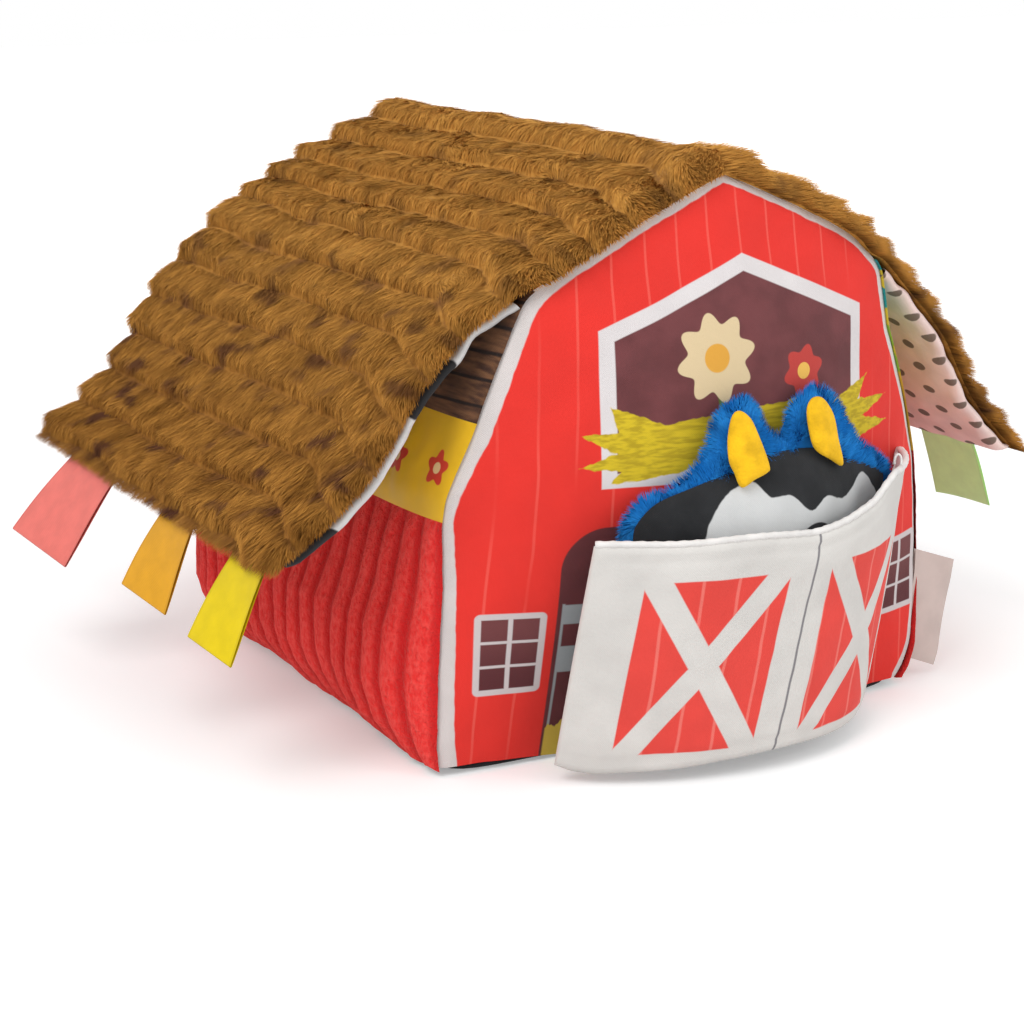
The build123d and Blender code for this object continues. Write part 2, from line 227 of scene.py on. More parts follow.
class Cloth:
    """A fabric material under construction: a Principled shader with helpers around it."""

    def __init__(self, name, roughness=0.85, sheen=0.05, sheen_tint=(1, 1, 1), source="object"):
        self.material = bpy.data.materials.new(name)
        self.material.use_nodes = True
        self.tree = self.material.node_tree
        self.set(
            Roughness=roughness, Sheen_Weight=sheen, Sheen_Roughness=0.6, Sheen_Tint=sheen_tint,
            Specular_IOR_Level=0.25,
        )
        where = self.node("TexCoord", out="Object") if source == "object" else self.map(source)
        self.where = self.node("VectorMath", {0: where, "Scale": 1 / MM}, operation="SCALE")
        self.x, self.y, self.z = self.split(self.where)

    def node(self, *words, **settings):
        return new_field(self.tree, *words, **settings)

    def set(self, **inputs):
        """Fields or values on the shader's own sockets."""
        shader = self.tree.nodes["Principled BSDF"]
        for name, value in inputs.items():
            plug(self.tree, shader.inputs[name.replace("_", " ")], value)

    def map(self, name):
        return self.node("UVMap", uv_map=name)

    def split(self, vector):
        node = add_node(self.tree, "SeparateXYZ", {0: vector})
        return [Field(self.tree, out) for out in node.outputs]

    def pair(self, name):
        """The two values of a UV map."""
        return self.split(self.map(name))[:2]

    def disc(self, cx, cz, rx, rz=None, across=None, along=None):
        """Signed measure of an ellipse, below 0 inside, in units of its size."""
        x = (across or self.x) - cx
        z = (along or self.z) - cz
        return ((x / rx).power(2) + (z / (rz or rx)).power(2)).power(0.5) - 1

    def panel(self, cx, cz, half_x, half_z, corner=0.5):
        """Signed distance of a rounded rectangle."""
        x = ((self.x - cx).abs() - (half_x - corner)).upper(0)
        z = ((self.z - cz).abs() - (half_z - corner)).upper(0)
        return (x * x + z * z).power(0.5) - corner

    def shape(self, *corners):
        """Signed distance of a convex polygon with clockwise corners."""
        worst = None
        for (ax, az), (bx, bz) in zip(corners, corners[1:] + corners[:1]):
            run = math.hypot(bx - ax, bz - az)
            nx, nz = (az - bz) / run, (bx - ax) / run
            rise = self.z.math("MULTIPLY_ADD", nz, -(ax * nx + az * nz))
            side = self.x.math("MULTIPLY_ADD", nx, rise)
            worst = side if worst is None else worst.upper(side)
        return worst

    def petals(self, cx, cz, radius, count, depth, across=None):
        """Signed distance of a flower with rounded petals."""
        x, z = (across or self.x) - cx, self.z - cz
        reach = (x * x + z * z).power(0.5)
        return reach - (((z.math("ARCTAN2", x) * count).sin() * depth) + radius)

    def noise(self, size, detail=2.0, stretch=None):
        """Noise around 0.5, with features about size millimetres across."""
        where = self.where
        if stretch:
            where = self.node("VectorMath", {0: where, 1: stretch}, operation="MULTIPLY")
        return self.node("TexNoise", {"Vector": where, "Scale": 1.0 / size, "Detail": detail})

    def mix(self, factor, below, above):
        inputs = {"Factor": factor, "A": below, "B": above}
        return self.node("Mix", inputs, out="Result", data_type="RGBA")

    def tinted(self, colour, amount=0.12, size=14.0):
        """A colour with gentle uneven dye in it."""
        dark = tuple(c * (1 - amount) for c in colour)
        light = tuple(min(1.0, c * (1 + amount)) for c in colour)
        return self.mix(self.noise(size, 3.0).step(0.3, 0.7), dark, light)

    def colour(self, value):
        """The ground, over which paint() goes."""
        self.ground = value
        self.set(Base_Color=value)

    def paint(self, mask, colour, soft=0.3):
        """A colour printed where a signed distance is below 0."""
        self.colour(self.mix(mask.inside(soft), self.ground, colour))

    def roughness(self, size, amount, least, detail=2.0):
        self.set(Roughness=self.noise(size, detail) * amount + least)

    def bump(self, height, distance=0.3, strength=1.0):
        """height is a field from about 0 to 1, distance in millimetres."""
        inputs = {"Strength": strength, "Distance": distance * MM, "Height": height}
        self.set(Normal=self.node("Bump", inputs))

    def weave(self, across, along, pitch=0.75):
        """Over and under threads of a plain weave, and the dull gloss of print cloth."""
        turn = 2 * math.pi / pitch
        threads = (across * turn).sin() * (along * turn).sin() * 0.5 + 0.5
        self.bump(self.noise(1.1, 3) * 0.5 + threads * 0.5, 0.16, 0.8)
        self.roughness(8, 0.2, 0.72, 3)

    def dress(self, *objects):
        for obj in objects:
            obj.data.materials.append(self.material)


# ---- The stuffed body's outlines ----
def smooth_edge(knots):
    """Half width of the body at each height, through (height, half width) knots."""
    z = np.linspace(0, APEX_Z, 408)
    x = np.interp(z, *zip(*knots))
    soft = np.hanning(17) / np.hanning(17).sum()
    x = np.convolve(np.pad(x, 8, "reflect", reflect_type="odd"), soft, "valid")
    x[-8:] = np.interp(z[-8:], *zip(*knots))
    return z, np.maximum(x, 0.3)


EDGES = {
    -1: smooth_edge([
        (0, 100.5), (10, 101.3), (39, 100.3), (68, 98.8), (91, 98.8), (99, 97.8), (108, 94.8), (121, 90),
        (131, 87), (143, 82.8), (157, 77.4), (165, 73.8), (168.5, 70.5), (177, 56), (188, 36), (198, 14),
        (203.5, 0.3),
    ]),
    1: smooth_edge([
        (0, 99), (6, 103), (15, 106.5), (44, 109.5), (73, 109.5), (91, 105.5), (105, 98.5), (121, 90.5),
        (143, 79), (157, 76), (165, 74), (168.5, 71), (179, 57.5), (185, 45), (193, 26.5), (200, 9.5),
        (203.5, 0.3),
    ]),
}


def outline_x(z, side):
    return np.interp(z, *EDGES[side])


def bow(z):
    """How far a gable bulges past the half depth at each height."""
    low = BOW_FLOOR + (BOW_WIDEST - BOW_FLOOR) * np.sin(np.pi / 2 * clamp(z / WIDEST_Z))
    high = BOW_APEX + (BOW_WIDEST - BOW_APEX) * np.cos(np.pi / 2 * clamp((z - WIDEST_Z) / BOW_RISE))
    return np.where(z < WIDEST_Z, low, high)


def gable_y(x, z):
    """The front gable: an arc across the barn at each height."""
    rise = bow(z)
    radius = (EAVE_X**2 + rise**2) / (2 * rise)
    drop = radius - np.sqrt(np.maximum(radius**2 - x**2, 0))
    return -(HALF_DEPTH + rise - drop)


# ---- Front and back gables: stuffed panels sewn in round their edges ----
def edge_distance(x, z):
    """Distance in from the seam, and the place along the seam, of each point."""
    seam = np.concatenate([at(-EDGES[-1][1], EDGES[-1][0]), at(EDGES[1][1], EDGES[1][0])[::-1]])
    gap = np.hypot(x[..., None] - seam[:, 0], z[..., None] - seam[:, 1])
    return gap.min(-1), gap.argmin(-1) * 0.6


def gable(name, back):
    rows = np.unique(np.concatenate([np.linspace(0, APEX_Z, 96), [EAVE_Z, KINK_Z]]))
    z, u = grid_of(rows, np.sin(np.linspace(-1, 1, 104) * np.pi / 2))
    x = np.where(u < 0, outline_x(z, -1), outline_x(z, 1)) * u
    inward, along = edge_distance(x, z)
    points = at(x, gable_y(x, z), z)
    folds = ripple(points * (1, 1, 0.5), 30, 3.1) + 0.45 * ripple(points * (1, 1, 0.7), 11, 8.2)
    pucker = np.sin(along / 5.5 + 2.5 * ripple(points, 25, 1.3)) * 0.35
    points[..., 1] -= clamp(inward / 14) * folds + pucker * np.exp(-inward / 7) * clamp(inward / 1.5)
    points[..., 1] += 1.7 * (1 - clamp(inward / 5)) ** 2
    raised = 3.4 * clamp((np.abs(x) - 45) / 40) ** 0.7
    points[..., 2] += raised * clamp(1 - z / 30)
    if back:
        points[..., 1] *= -1
    obj = grid_object(name, points, flip=back)
    # The printed pale edge is wider on the left.
    left = np.interp(z, (0, 91, 128, 160, 172, 203), (6.6, 3.2, 5.4, 5.0, 3.3, 3.2))
    right = np.interp(z, (0, 160, 172, 203), (3.6, 3.6, 2.7, 2.7))
    width = left + (right - left) * clamp(x / 20 + 0.5)
    set_uv(obj, "edge", inward - width, along)
    return obj


front = gable("front_gable_cloth", False)
back = gable("back_gable_cloth", True)
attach(front, "barn_body")
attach(back, "barn_body")
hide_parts("front_gable_panel", "body_filling")
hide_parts("back_gable_panel")


def barn_cloth(name):
    """Red cloth with printed paler lines and a pale printed edge."""
    cloth = Cloth(name, 0.82)
    stripe = ((cloth.x + cloth.noise(45) * 3.0 + cloth.x * cloth.z * 0.0006) / 13.5).part()
    line = 1 - ((stripe - 0.5).abs() * 13.5).step(0.25, 0.7)
    line = line * cloth.noise(40, 2, (1, 1, 0.4)).step(0.35, 0.5) * 0.4
    red = cloth.tinted((0.76, 0.031, 0.022), 0.05, 30)
    cloth.colour(cloth.mix(line, red, (0.90, 0.17, 0.13)))
    inward, _ = cloth.pair("edge")
    ragged = cloth.noise(7) * 1.2 - 0.6
    cloth.paint(inward + ragged, cloth.tinted((0.65, 0.60, 0.585), 0.05, 20))
    cloth.weave(cloth.x, cloth.z)
    return cloth


barn = barn_cloth("barn_print")
x, z = barn.x, barn.z
# Hayloft window: a six-sided pale frame round a dark opening, with flowers in it.
for half, top, bottom, colour in (
    (55.0, 177.1, 101.5, barn.tinted((0.70, 0.66, 0.66), 0.04, 20)),
    (49.6, 171.2, 106.5, barn.tinted((0.150, 0.042, 0.045), 0.14, 12)),
):
    across = (x - 4.7).abs()
    barn.paint((across * 0.378 + (z - top) * 0.926).upper(across - half).upper(bottom - z), colour)
stem = ((x + 7 + (z - 128) * 0.12).abs() - 1.0).upper(z - 138).upper(118 - z)
barn.paint(stem, (0.10, 0.17, 0.03))
for cx, cz, radius, count, colour, heart in (
    (-8, 143, 13.5, 8, (0.70, 0.55, 0.33), (0.72, 0.36, 0.05)),
    (29, 135, 8.0, 6, (0.52, 0.055, 0.045), (0.85, 0.50, 0.10)),
):
    barn.paint(barn.petals(cx, cz, radius, count, radius * 0.15), colour)
    barn.paint(barn.disc(cx, cz, radius * 0.36), heart, 0.05)
# Hay hangs over the window's lower edge in pointed tufts.
straw = barn.noise(1.3, 2, (0.09, 1, 1)).step(0.35, 0.65)
hay = barn.mix(straw, (0.46, 0.33, 0.012), (0.66, 0.49, 0.018))
tufts = barn.shape((-47, 129), (-28, 122), (-42, 112))
for corners in (
    [(-57, 120), (-34, 121), (-38, 109)], [(-58, 109), (-34, 117), (-34, 106)],
    [(-48.5, 102.5), (-32, 117), (-20, 106)], [(64.5, 129.5), (52, 110), (42, 121)],
    [(75.5, 119.5), (48, 109), (46, 122)], [(77.5, 110), (50, 105), (47, 118)],
    [(60.5, 103.5), (34, 106), (44, 118)],
    [(-40, 121), (-10, 124), (30, 126), (48, 122), (48, 106), (-40, 106)],
):
    tufts = tufts.lower(barn.shape(*corners))
barn.paint(tufts + barn.noise(4) * 2.4 - 1.2, hay)
# Two printed windows, each of two by three panes.
for cx, cz in ((-77.5, 43.5), (94.5, 46.5)):
    barn.paint(barn.panel(cx, cz, 11.75, 15.0, 2.0), (0.62, 0.56, 0.56))
    px = ((x - cx).abs() - 5.15).abs() - 4.35
    pz = ((z - cz + 13.4) / 8.93).part() * 8.93 - 4.47
    glass = barn.mix((z - cz).step(-12, 12), (0.105, 0.024, 0.028), (0.17, 0.050, 0.052))
    barn.paint(px.upper(pz.abs() - 3.95).upper(barn.panel(cx, cz, 9.85, 13.1)), glass, 0.25)
# Doorway behind the flap, with stall rails and straw.
arch = barn.panel(0, 30, 62.5, 58, 15)
barn.paint(arch, barn.tinted((0.125, 0.030, 0.033), 0.12, 15))
rails = ((z - 57).abs() - 3.6).lower((z - 40).abs() - 5.0)
rails = rails.lower(((x / 25).part() * 25 - 12.5).abs() - 2.4)
barn.paint(rails.upper(arch + 1.5).upper(z - 61), (0.33, 0.36, 0.37))
blades = barn.noise(3, 2, (1, 1, 0.2)) * 12 + 8
barn.paint((z - blades).upper(arch + 1), (0.60, 0.44, 0.06), 0.4)
barn.dress(front)
barn_cloth("barn_print_back").dress(back)


# ---- Side walls: corduroy below, satin band, upper cloth ----
CORDUROY_RIBS = 17


def side_bulge(z, v, side):
    heights = (0, 6, 15, 30, 50, 80, EAVE_Z, 130, KINK_Z)
    if side > 0:
        return np.interp(z, heights, (1.0, 3.0, 5.0, 7, 7.5, 4.5, 2.5, 2.5, 0)) * (1 - np.abs(v) ** 3.2)
    full = np.interp(z, heights, (2, 8, 15, 21, 21, 10, 4.5, 3.5, 0)) * (1 - np.abs(v) ** 6)
    full = full * (0.75 + 0.25 * clamp(v + 0.4))
    return full - 9.0 * clamp((v + 0.8) / 0.9) * clamp(1 - z / 22)


def side_points(rows, columns, side):
    z, v = grid_of(rows, columns)
    edge = outline_x(z, side)
    return at((edge + side_bulge(z, v, side)) * side, v * -gable_y(edge, z), z)


def corduroy_wall(name, side):
    rows = np.linspace(1.0, EAVE_Z, 56)
    columns = np.linspace(-1, 1, CORDUROY_RIBS * 14 + 1)
    points = side_points(rows, columns, side)
    z, v = grid_of(rows, columns)
    lean = 0.5 * (1 - z / EAVE_Z) * (1 - v**2)
    phase = (v + 1) / 2 * CORDUROY_RIBS + lean + 0.25 * ripple(points * (1, 1, 0.5), 40, 6.0)
    ridge = np.sin(phase * np.pi) ** 2
    rib = 2.3 * ridge**0.55 * (0.92 + 0.3 * ripple(points, 10, 5.0))
    fade = clamp((EAVE_Z - z) / 5) ** 0.5
    slump = 1.8 * ripple(points, 38, 1.7) + 0.5 * ripple(points, 14, 4.4)
    fuzz = 0.22 * ripple(points, 2.6, 8.8)
    points[..., 0] += side * ((rib - 1.2 * (1 - v**16) + fuzz) * fade + slump * (1 - v**4) * fade)
    points[..., 2] += clamp(1 - z / 8) * (0.8 + 1.2 * ridge + 1.5 * ripple(points, 30, 2.0))
    obj = grid_object(name, points, flip=side < 0)
    set_uv(obj, "rib", ridge, phase)
    return obj


def side_panel(name, side, low, high, seed):
    rows, columns = np.linspace(low, high, 30), np.linspace(-1, 1, 120)
    points = side_points(rows, columns, side)
    z, v = grid_of(rows, columns)
    folds = 1.7 * ripple(points * (1, 1, 0.5), 16, seed) + 0.7 * ripple(points * (1, 1, 0.6), 6, seed)
    points[..., 0] += side * (1.2 + folds) * np.sin((z - low) / (high - low) * np.pi) * (1 - v**8)
    return grid_object(name, points, flip=side < 0)


corduroy = Cloth("red_corduroy", 0.95, 0.22, (1.0, 0.35, 0.30))
tuft = corduroy.noise(1.3, 4, (1, 1, 0.6))
lump = corduroy.noise(3.2)
nap = (tuft * 0.75 + lump * 0.25).step(0.30, 0.70)
nap = corduroy.mix(nap, (0.88, 0.018, 0.017), (1.0, 0.082, 0.070))
# Painted shade: the grooves between the ribs, where the rib map is low, are a darker red than the nap on the
# ribs.
corduroy.colour(corduroy.mix(corduroy.pair("rib")[0].step(-0.05, 0.6), (0.66, 0.008, 0.010), nap))
corduroy.bump(tuft * 0.7 + corduroy.noise(0.6) * 0.3 + lump * 0.5, 2.0, 1.0)
corduroy.set(Roughness=tuft * 0.15 + 0.85)

satin = Cloth("gold_satin_band", 0.42, 0.15, (1.0, 0.85, 0.5))
cell = ((satin.y + 200) / 24).part() * 24 - 12
satin.colour(satin.tinted((0.84, 0.50, 0.010), 0.08, 18))
satin.paint(satin.petals(0, 108, 5.0, 5, 1.1, across=cell), (0.66, 0.030, 0.018))
satin.paint(satin.disc(0, 108, 1.9, across=cell), (0.88, 0.62, 0.30), 0.1)
satin.bump(satin.noise(0.5, 2, (1, 4, 1)), 0.06, 0.6)
satin.roughness(9, 0.2, 0.32)

planks = Cloth("plank_print", 0.8)
grain = planks.noise(2.2, 4, (1, 0.12, 1)).step(0.3, 0.7)
wood = planks.mix(grain, (0.050, 0.020, 0.012), (0.20, 0.090, 0.040))
board = ((planks.z + planks.y * 0.03) / 8.5).part()
planks.colour(planks.mix((board - 0.5).abs().step(0.40, 0.47), wood, (0.016, 0.007, 0.005)))
planks.weave(planks.y, planks.z)

stalls = Cloth("green_side_print", 0.8)
gy, gz = stalls.y, stalls.z
hill = (gz - 143 + (gy / 15).sin() * 3).step(-0.4, 0.4)
stalls.colour(stalls.mix(hill, (0.36, 0.60, 0.05), (0.02, 0.36, 0.36)))
dots = stalls.disc(0, 0, 3.4, across=(gy / 17).part() * 17 - 8.5, along=(gz / 14).part() * 14 - 7)
stalls.paint(dots, (0.80, 0.62, 0.04), 0.08)
stalls.weave(gy, gz)

for side, word in WORDS.items():
    wall = corduroy_wall(f"{word}_corduroy", side)
    band = side_panel(f"{word}_satin", side, EAVE_Z, SATIN_TOP, 2.0 + side)
    upper = side_panel(f"{word}_upper_cloth", side, SATIN_TOP, KINK_Z, 7.0 + side)
    corduroy.dress(wall)
    satin.dress(band)
    (planks if side < 0 else stalls).dress(upper)
    for obj, node in ((wall, "corduroy_wall"), (band, "satin_band"), (upper, "upper_wall")):
        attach(obj, "barn_body")
        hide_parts(f"{word}_{node}")


# ---- Base panel ----
turn = np.linspace(0, 2 * np.pi, 200, endpoint=False)
cosine, sine = np.cos(turn), np.sin(turn)
square = 1 / (np.abs(cosine) ** 16 + np.abs(sine) ** 16) ** (1 / 16)
lean_in = 9.5 * clamp(-cosine * 3) * clamp((sine + 0.8) / 0.9)
rings = []
for height, grow in (
    (0.3, -99.0), (0.2, -60), (0.0, -30), (0.0, -6), (0.4, -2.5), (1.4, -1.2), (2.6, -1.0), (3.2, -2.5),
):
    reach = (HALF_DEPTH + grow) * square
    ring_x = cosine * (reach + 2.0 * cosine**2) + lean_in * clamp(reach / HALF_DEPTH)
    rings.append(at(ring_x, sine * (reach + 2.0 * sine**2), height))
base = grid_object("base_cloth", np.array(rings), closed=True)
black = Cloth("black_base_cloth", 0.8)
black.colour(black.tinted((0.018, 0.018, 0.020), 0.3, 10))
black.weave(black.x, black.y)
black.dress(base)
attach(base, "barn_body")
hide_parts("base_panel")


# ---- Roof: one ribbed plush skin on each side, from the ridge over the fold to the hem ----
# Lengths s run down the roof from the ridge, and v from 0 at the front edge to 1 at the back.
SLOPE = math.atan2(APEX_Z - KINK_Z, KINK_X)
CROWN_LENGTH = math.hypot(KINK_X, APEX_Z - KINK_Z)
HINGE_ANGLE = 90 - FLAP_DROOP + FLAP_HALF_ANGLE
HEM_ANGLE = 90 - FLAP_DROOP - FLAP_HALF_ANGLE
GROOVE_CROWN, GROOVE_FLAP = 4.4, 2.0
FLAP_ARC = math.radians(HINGE_ANGLE - HEM_ANGLE) * FLAP_RADIUS
ROOF_LENGTH = CROWN_LENGTH + FLAP_ARC
ROOF_DEPTH = 242.0
SKIN_ROWS, SKIN_COLUMNS = 109, 62
RIB_PITCH, RIB_RISE = 17.4, 3.9
PILE_LENGTH = 4.6
# The pile turns outward within this distance of the front and back edges, and of the hem.
EDGE_LIP, HEM_LIP = 7, 6
FRONT_LENGTHS = (0, 40, 60, 78.7, 103, 127.5, 152, 176, 201)
FRONT_EDGES = {
    -1: (-117.6, -117.8, -116, -112, -101, -103, -110, -109, -101),
    1: (-117.6, -117.8, -116, -111, -106, -105, -98, -93, -89),
}


def front_edge(s, side):
    """y of the roof's front edge."""
    return sum(np.interp(s + d, FRONT_LENGTHS, FRONT_EDGES[side]) for d in (-9, -4, 0, 4, 9)) / 5


def flap_ray(share):
    angle = np.radians(HINGE_ANGLE + (HEM_ANGLE - HINGE_ANGLE) * share)
    return at(np.cos(angle), np.sin(angle))


def past_fold(s):
    """0 on the crown and 1 on the flap, smooth over the fold."""
    return smooth_step((s - CROWN_LENGTH + 8) / 16)


def sag(s, y, side):
    """How far the loose cloth of a flap hangs below its arc."""
    share = (s - CROWN_LENGTH) / FLAP_ARC
    deep = 3.5 + 5.0 * clamp((y + 105) / 235) if side < 0 else 4.5
    return deep * np.exp(-(((share - 0.72) / 0.26) ** 2))


def roof_section(s, height, side):
    """A point in x, z of the roof, height above its grooves, and the outward normal."""
    s = np.asarray(s, float)
    crown_z = APEX_Z + (KINK_Z - APEX_Z) * (np.clip(s, 0, CROWN_LENGTH) / CROWN_LENGTH)
    crown = at(outline_x(crown_z, side) - 0.3 * clamp(1 - s / 4), crown_z)
    ridge = clamp(1 - s / 9.0)[..., None] ** 2
    normal = np.array([math.sin(SLOPE), math.cos(SLOPE)]) * (1 - ridge) + np.array([0, 1.0]) * ridge
    normal = unit(normal)
    crown = crown + normal * (height + GROOVE_CROWN)[..., None]
    ray = flap_ray(clamp((s - CROWN_LENGTH) / FLAP_ARC))
    flap = FLAP_CENTRE + ray * (FLAP_RADIUS + GROOVE_FLAP + height)[..., None]
    turn = past_fold(s)[..., None]
    lead = np.clip(CROWN_LENGTH - s, 0, None)[..., None]
    flap = flap - at(ray[..., 1], -ray[..., 0]) * lead
    return crown * (1 - turn) + flap * turn, unit(normal * (1 - turn) + ray * turn)


def rib_shape(s, drift):
    """Overlapping ribs that rise slowly down the slope and drop at their lower edge, 0 to 1."""
    phase = (s / RIB_PITCH + 0.55 + drift) % 1.0
    rising = clamp(phase / 0.72) ** 0.75
    falling = np.sin(clamp((1 - phase) / 0.30) * np.pi / 2)
    return rising * falling


def roof_top(s, v, side):
    """y, drift of the ribs, thickness share and uneven rise of the plush, and a place for noise."""
    front_y = front_edge(s, side)
    y = front_y + (ROOF_BACK - front_y) * v
    wave = at(s, y, side * 5 * clamp((s - 4) / 30))
    drift = 0.16 * ripple(wave, 55, 3.3) + 0.05 * ripple(wave, 16, 6.1)
    drift = drift - 0.55 * smooth_step((front_y + 38 - y) / 38) * clamp(s / 20)
    y = y + 3.0 * (rib_shape(s, drift) - 0.4) * smooth_step((v - 0.92) / 0.08)
    rounded = clamp(v * ROOF_DEPTH / 4.5) ** 0.5 * clamp((1 - v) * ROOF_DEPTH / 3) ** 0.5
    hem = np.sqrt(clamp((ROOF_LENGTH - s) / HEM_LIP))
    uneven = 1.1 * ripple(wave, 13, 2.2) + 1.4 * ripple(wave * (0.6, 1, 1), 45, 9.0)
    return y, drift, rounded * hem, uneven, wave


def roof_under(s):
    """How far the cloth's underside lies below the ribs' grooves."""
    return GROOVE_CROWN + (GROOVE_FLAP - GROOVE_CROWN) * past_fold(s)


def roof_face(s, y, drift, full, uneven, side):
    """A point in x, z on the ribbed face, and the outward normal."""
    under = roof_under(s)
    height = (RIB_RISE * rib_shape(s, drift) + uneven + under) * full - under - sag(s, y, side)
    return roof_section(s, height, side)


def roof_skin(name, side):
    """The plush's cloth: a closed shell with ribs on top."""
    s, v = grid_of(np.linspace(0, ROOF_LENGTH, SKIN_ROWS), np.linspace(0, 1, SKIN_COLUMNS))
    y, drift, full, uneven, _ = roof_top(s, v, side)
    top, _ = roof_face(s, y, drift, full, uneven, side)
    low, _ = roof_section(s, -roof_under(s) - 0.1 - sag(s, y, side), side)
    shell = there_and_back(mirrored(top, y, side), mirrored(low, y, side))
    obj = grid_object(name, shell, closed=True, flip=side < 0)
    set_uv(obj, "cloth", there_and_back(s), there_and_back(y), MM)
    set_uv(obj, "lie", 0.3, 0.1)
    set_uv(obj, "rib", there_and_back(rib_shape(s, drift)))
    return obj


def blades_object(name, roots, lean, normals, length, width, place, rib):
    """Single pointed blades of pile, their flat faces turned outward.

    place is each blade's (u, v) on the cloth in millimetres, rib its height on the ribs."""
    count = len(roots)
    across = unit(np.cross(lean, normals)) * width[:, None] / 2
    start = roots - lean * 0.8
    verts = np.stack([start - across, start + across, roots + lean * length[:, None]], 1)
    obj = make_object(name, verts, np.arange(count * 3).reshape(-1, 3).tolist())
    strand = RNG.random(count)
    set_uv(obj, "cloth", *np.repeat(place, 3, 0).T, MM)
    set_uv(obj, "lie", np.repeat(strand, 3), np.tile((0, 0, 1), count))
    set_uv(obj, "rib", np.repeat(rib, 3))
    obj.data.normals_split_custom_set_from_vertices(np.repeat(normals, 3, 0).tolist())
    return obj


def roof_pile(name, side, count):
    s = RNG.random(count) * (ROOF_LENGTH - 0.5)
    v = RNG.random(count)
    # More blades stand along the front and back edges, and along the hem.
    ends = count // 9
    near = RNG.random(ends) ** 2 * 0.022
    v[:ends] = np.where(RNG.random(ends) < 0.5, near, 1 - near)
    s[ends: ends * 3 // 2] = ROOF_LENGTH - RNG.random(ends * 3 // 2 - ends) ** 2 * 4
    y, drift, full, uneven, wave = roof_top(s, v, side)
    point, out = roof_face(s, y, drift, full, uneven, side)
    ahead, behind = (roof_face(s + d, y, drift, full, uneven, side)[0] for d in (0.7, -0.7))
    run = unit(ahead - behind)
    rise = at(-run[:, 1], 0, run[:, 0])
    rise *= np.sign(np.sum(rise[:, [0, 2]] * out, -1))[:, None]
    down = at(run[:, 0], 0, run[:, 1])
    forward = np.array([0, -1.0, 0])
    front_lip = clamp(1 - v * ROOF_DEPTH / EDGE_LIP)[:, None]
    back_lip = clamp(1 - (1 - v) * ROOF_DEPTH / EDGE_LIP)[:, None]
    hem_lip = clamp(1 - (ROOF_LENGTH - s) / HEM_LIP)[:, None]
    face = unit(rise + forward * (front_lip - back_lip) * 1.4 + down * hem_lip * 0.9)
    drape = 0.75 + 0.25 * smooth_step((s - 60) / 120)
    flow = (
        down * (drape + 0.70 * ripple(wave, 17, 20.0) + 0.50 * ripple(wave, 5, 44.0))[:, None]
        + forward * (0.35 + 0.75 * ripple(wave, 19, 31.0) + 0.50 * ripple(wave, 5, 57.0))[:, None]
        + forward * (front_lip * 1.2 - back_lip * 1.2)
        + down * hem_lip * 1.2
    )
    # The far slope is seen on edge, its pile standing up along the front.
    brush = np.exp(-v * ROOF_DEPTH / 16) * (0.7 if side > 0 else 0.0)
    lean = unit(
        unit(flow) * (0.95 - 0.45 * brush)[:, None]
        + face * (0.12 + 0.09 * ripple(wave, 6, 71.0) + 0.55 * brush)[:, None]
        + RNG.normal(0, 0.06, (count, 3))
    )
    length = PILE_LENGTH + ripple(wave, 7, 70.0) + RNG.random(count) * 1.4 + 1.5 * hem_lip[:, 0]
    shading = unit(
        rise * 0.9 + lean * 0.3 + brush[:, None] * np.array([-1.0, -0.9, 0.5])
        + RNG.normal(0, 0.10, (count, 3))
    )
    flip = np.array([side, 1, 1])
    width = 0.40 + 0.22 * RNG.random(count)
    return blades_object(
        name, at(point[:, 0], y, point[:, 1]) * flip, lean * flip, shading * flip, length, width,
        at(s, y), rib_shape(s, drift),
    )


def fur_cloth(name, low, high, dark, sunlit=None):
    """A pile: each of low and high is a pair of colours, for the blades' roots and tips."""
    cloth = Cloth(name, 1.0, 0.0, source="cloth")
    strand, reach = cloth.pair("lie")
    rib, _ = cloth.pair("rib")
    patch = cloth.noise(10, 3).step(0.34, 0.66)
    shade = reach.step(-0.3, 0.95) * (0.6 + strand * 0.4)
    body = cloth.mix(shade, cloth.mix(patch, *low), cloth.mix(patch, *high))
    # Blotches of the dark colour lie in random patches, a little more often where the rib value is low; in
    # the roof's grooves that part is painted shade.
    blotch_and_groove_shade = cloth.noise(11.0, 1, (1, 0.5, 1)) + (1 - rib) * 0.07 + strand * 0.04
    blotch_and_groove_shade = blotch_and_groove_shade.step(0.61, 0.74) * 0.85
    # Painted light: given a sunlit colour, the pile is mixed towards it near the ridge, less further down the
    # roof, and its blotches are fainter up there.
    if sunlit:
        down = cloth.x.step(30, 190)
        body = cloth.mix((1 - down) * 0.37, body, sunlit)
        blotch_and_groove_shade = blotch_and_groove_shade * (down * 0.7 + 0.4)
    body = cloth.mix(blotch_and_groove_shade, body, dark)
    # Painted shade: where the rib value is low, in the grooves between the roof's ribs, the pile is mixed
    # halfway to the dark colour. On the cow's fur the rib value is random, so there it gives random darker
    # patches.
    cloth.colour(cloth.mix((1 - rib.step(0.0, 0.22)) * 0.5, body, dark))
    cloth.set(Specular_IOR_Level=0.12)
    return cloth


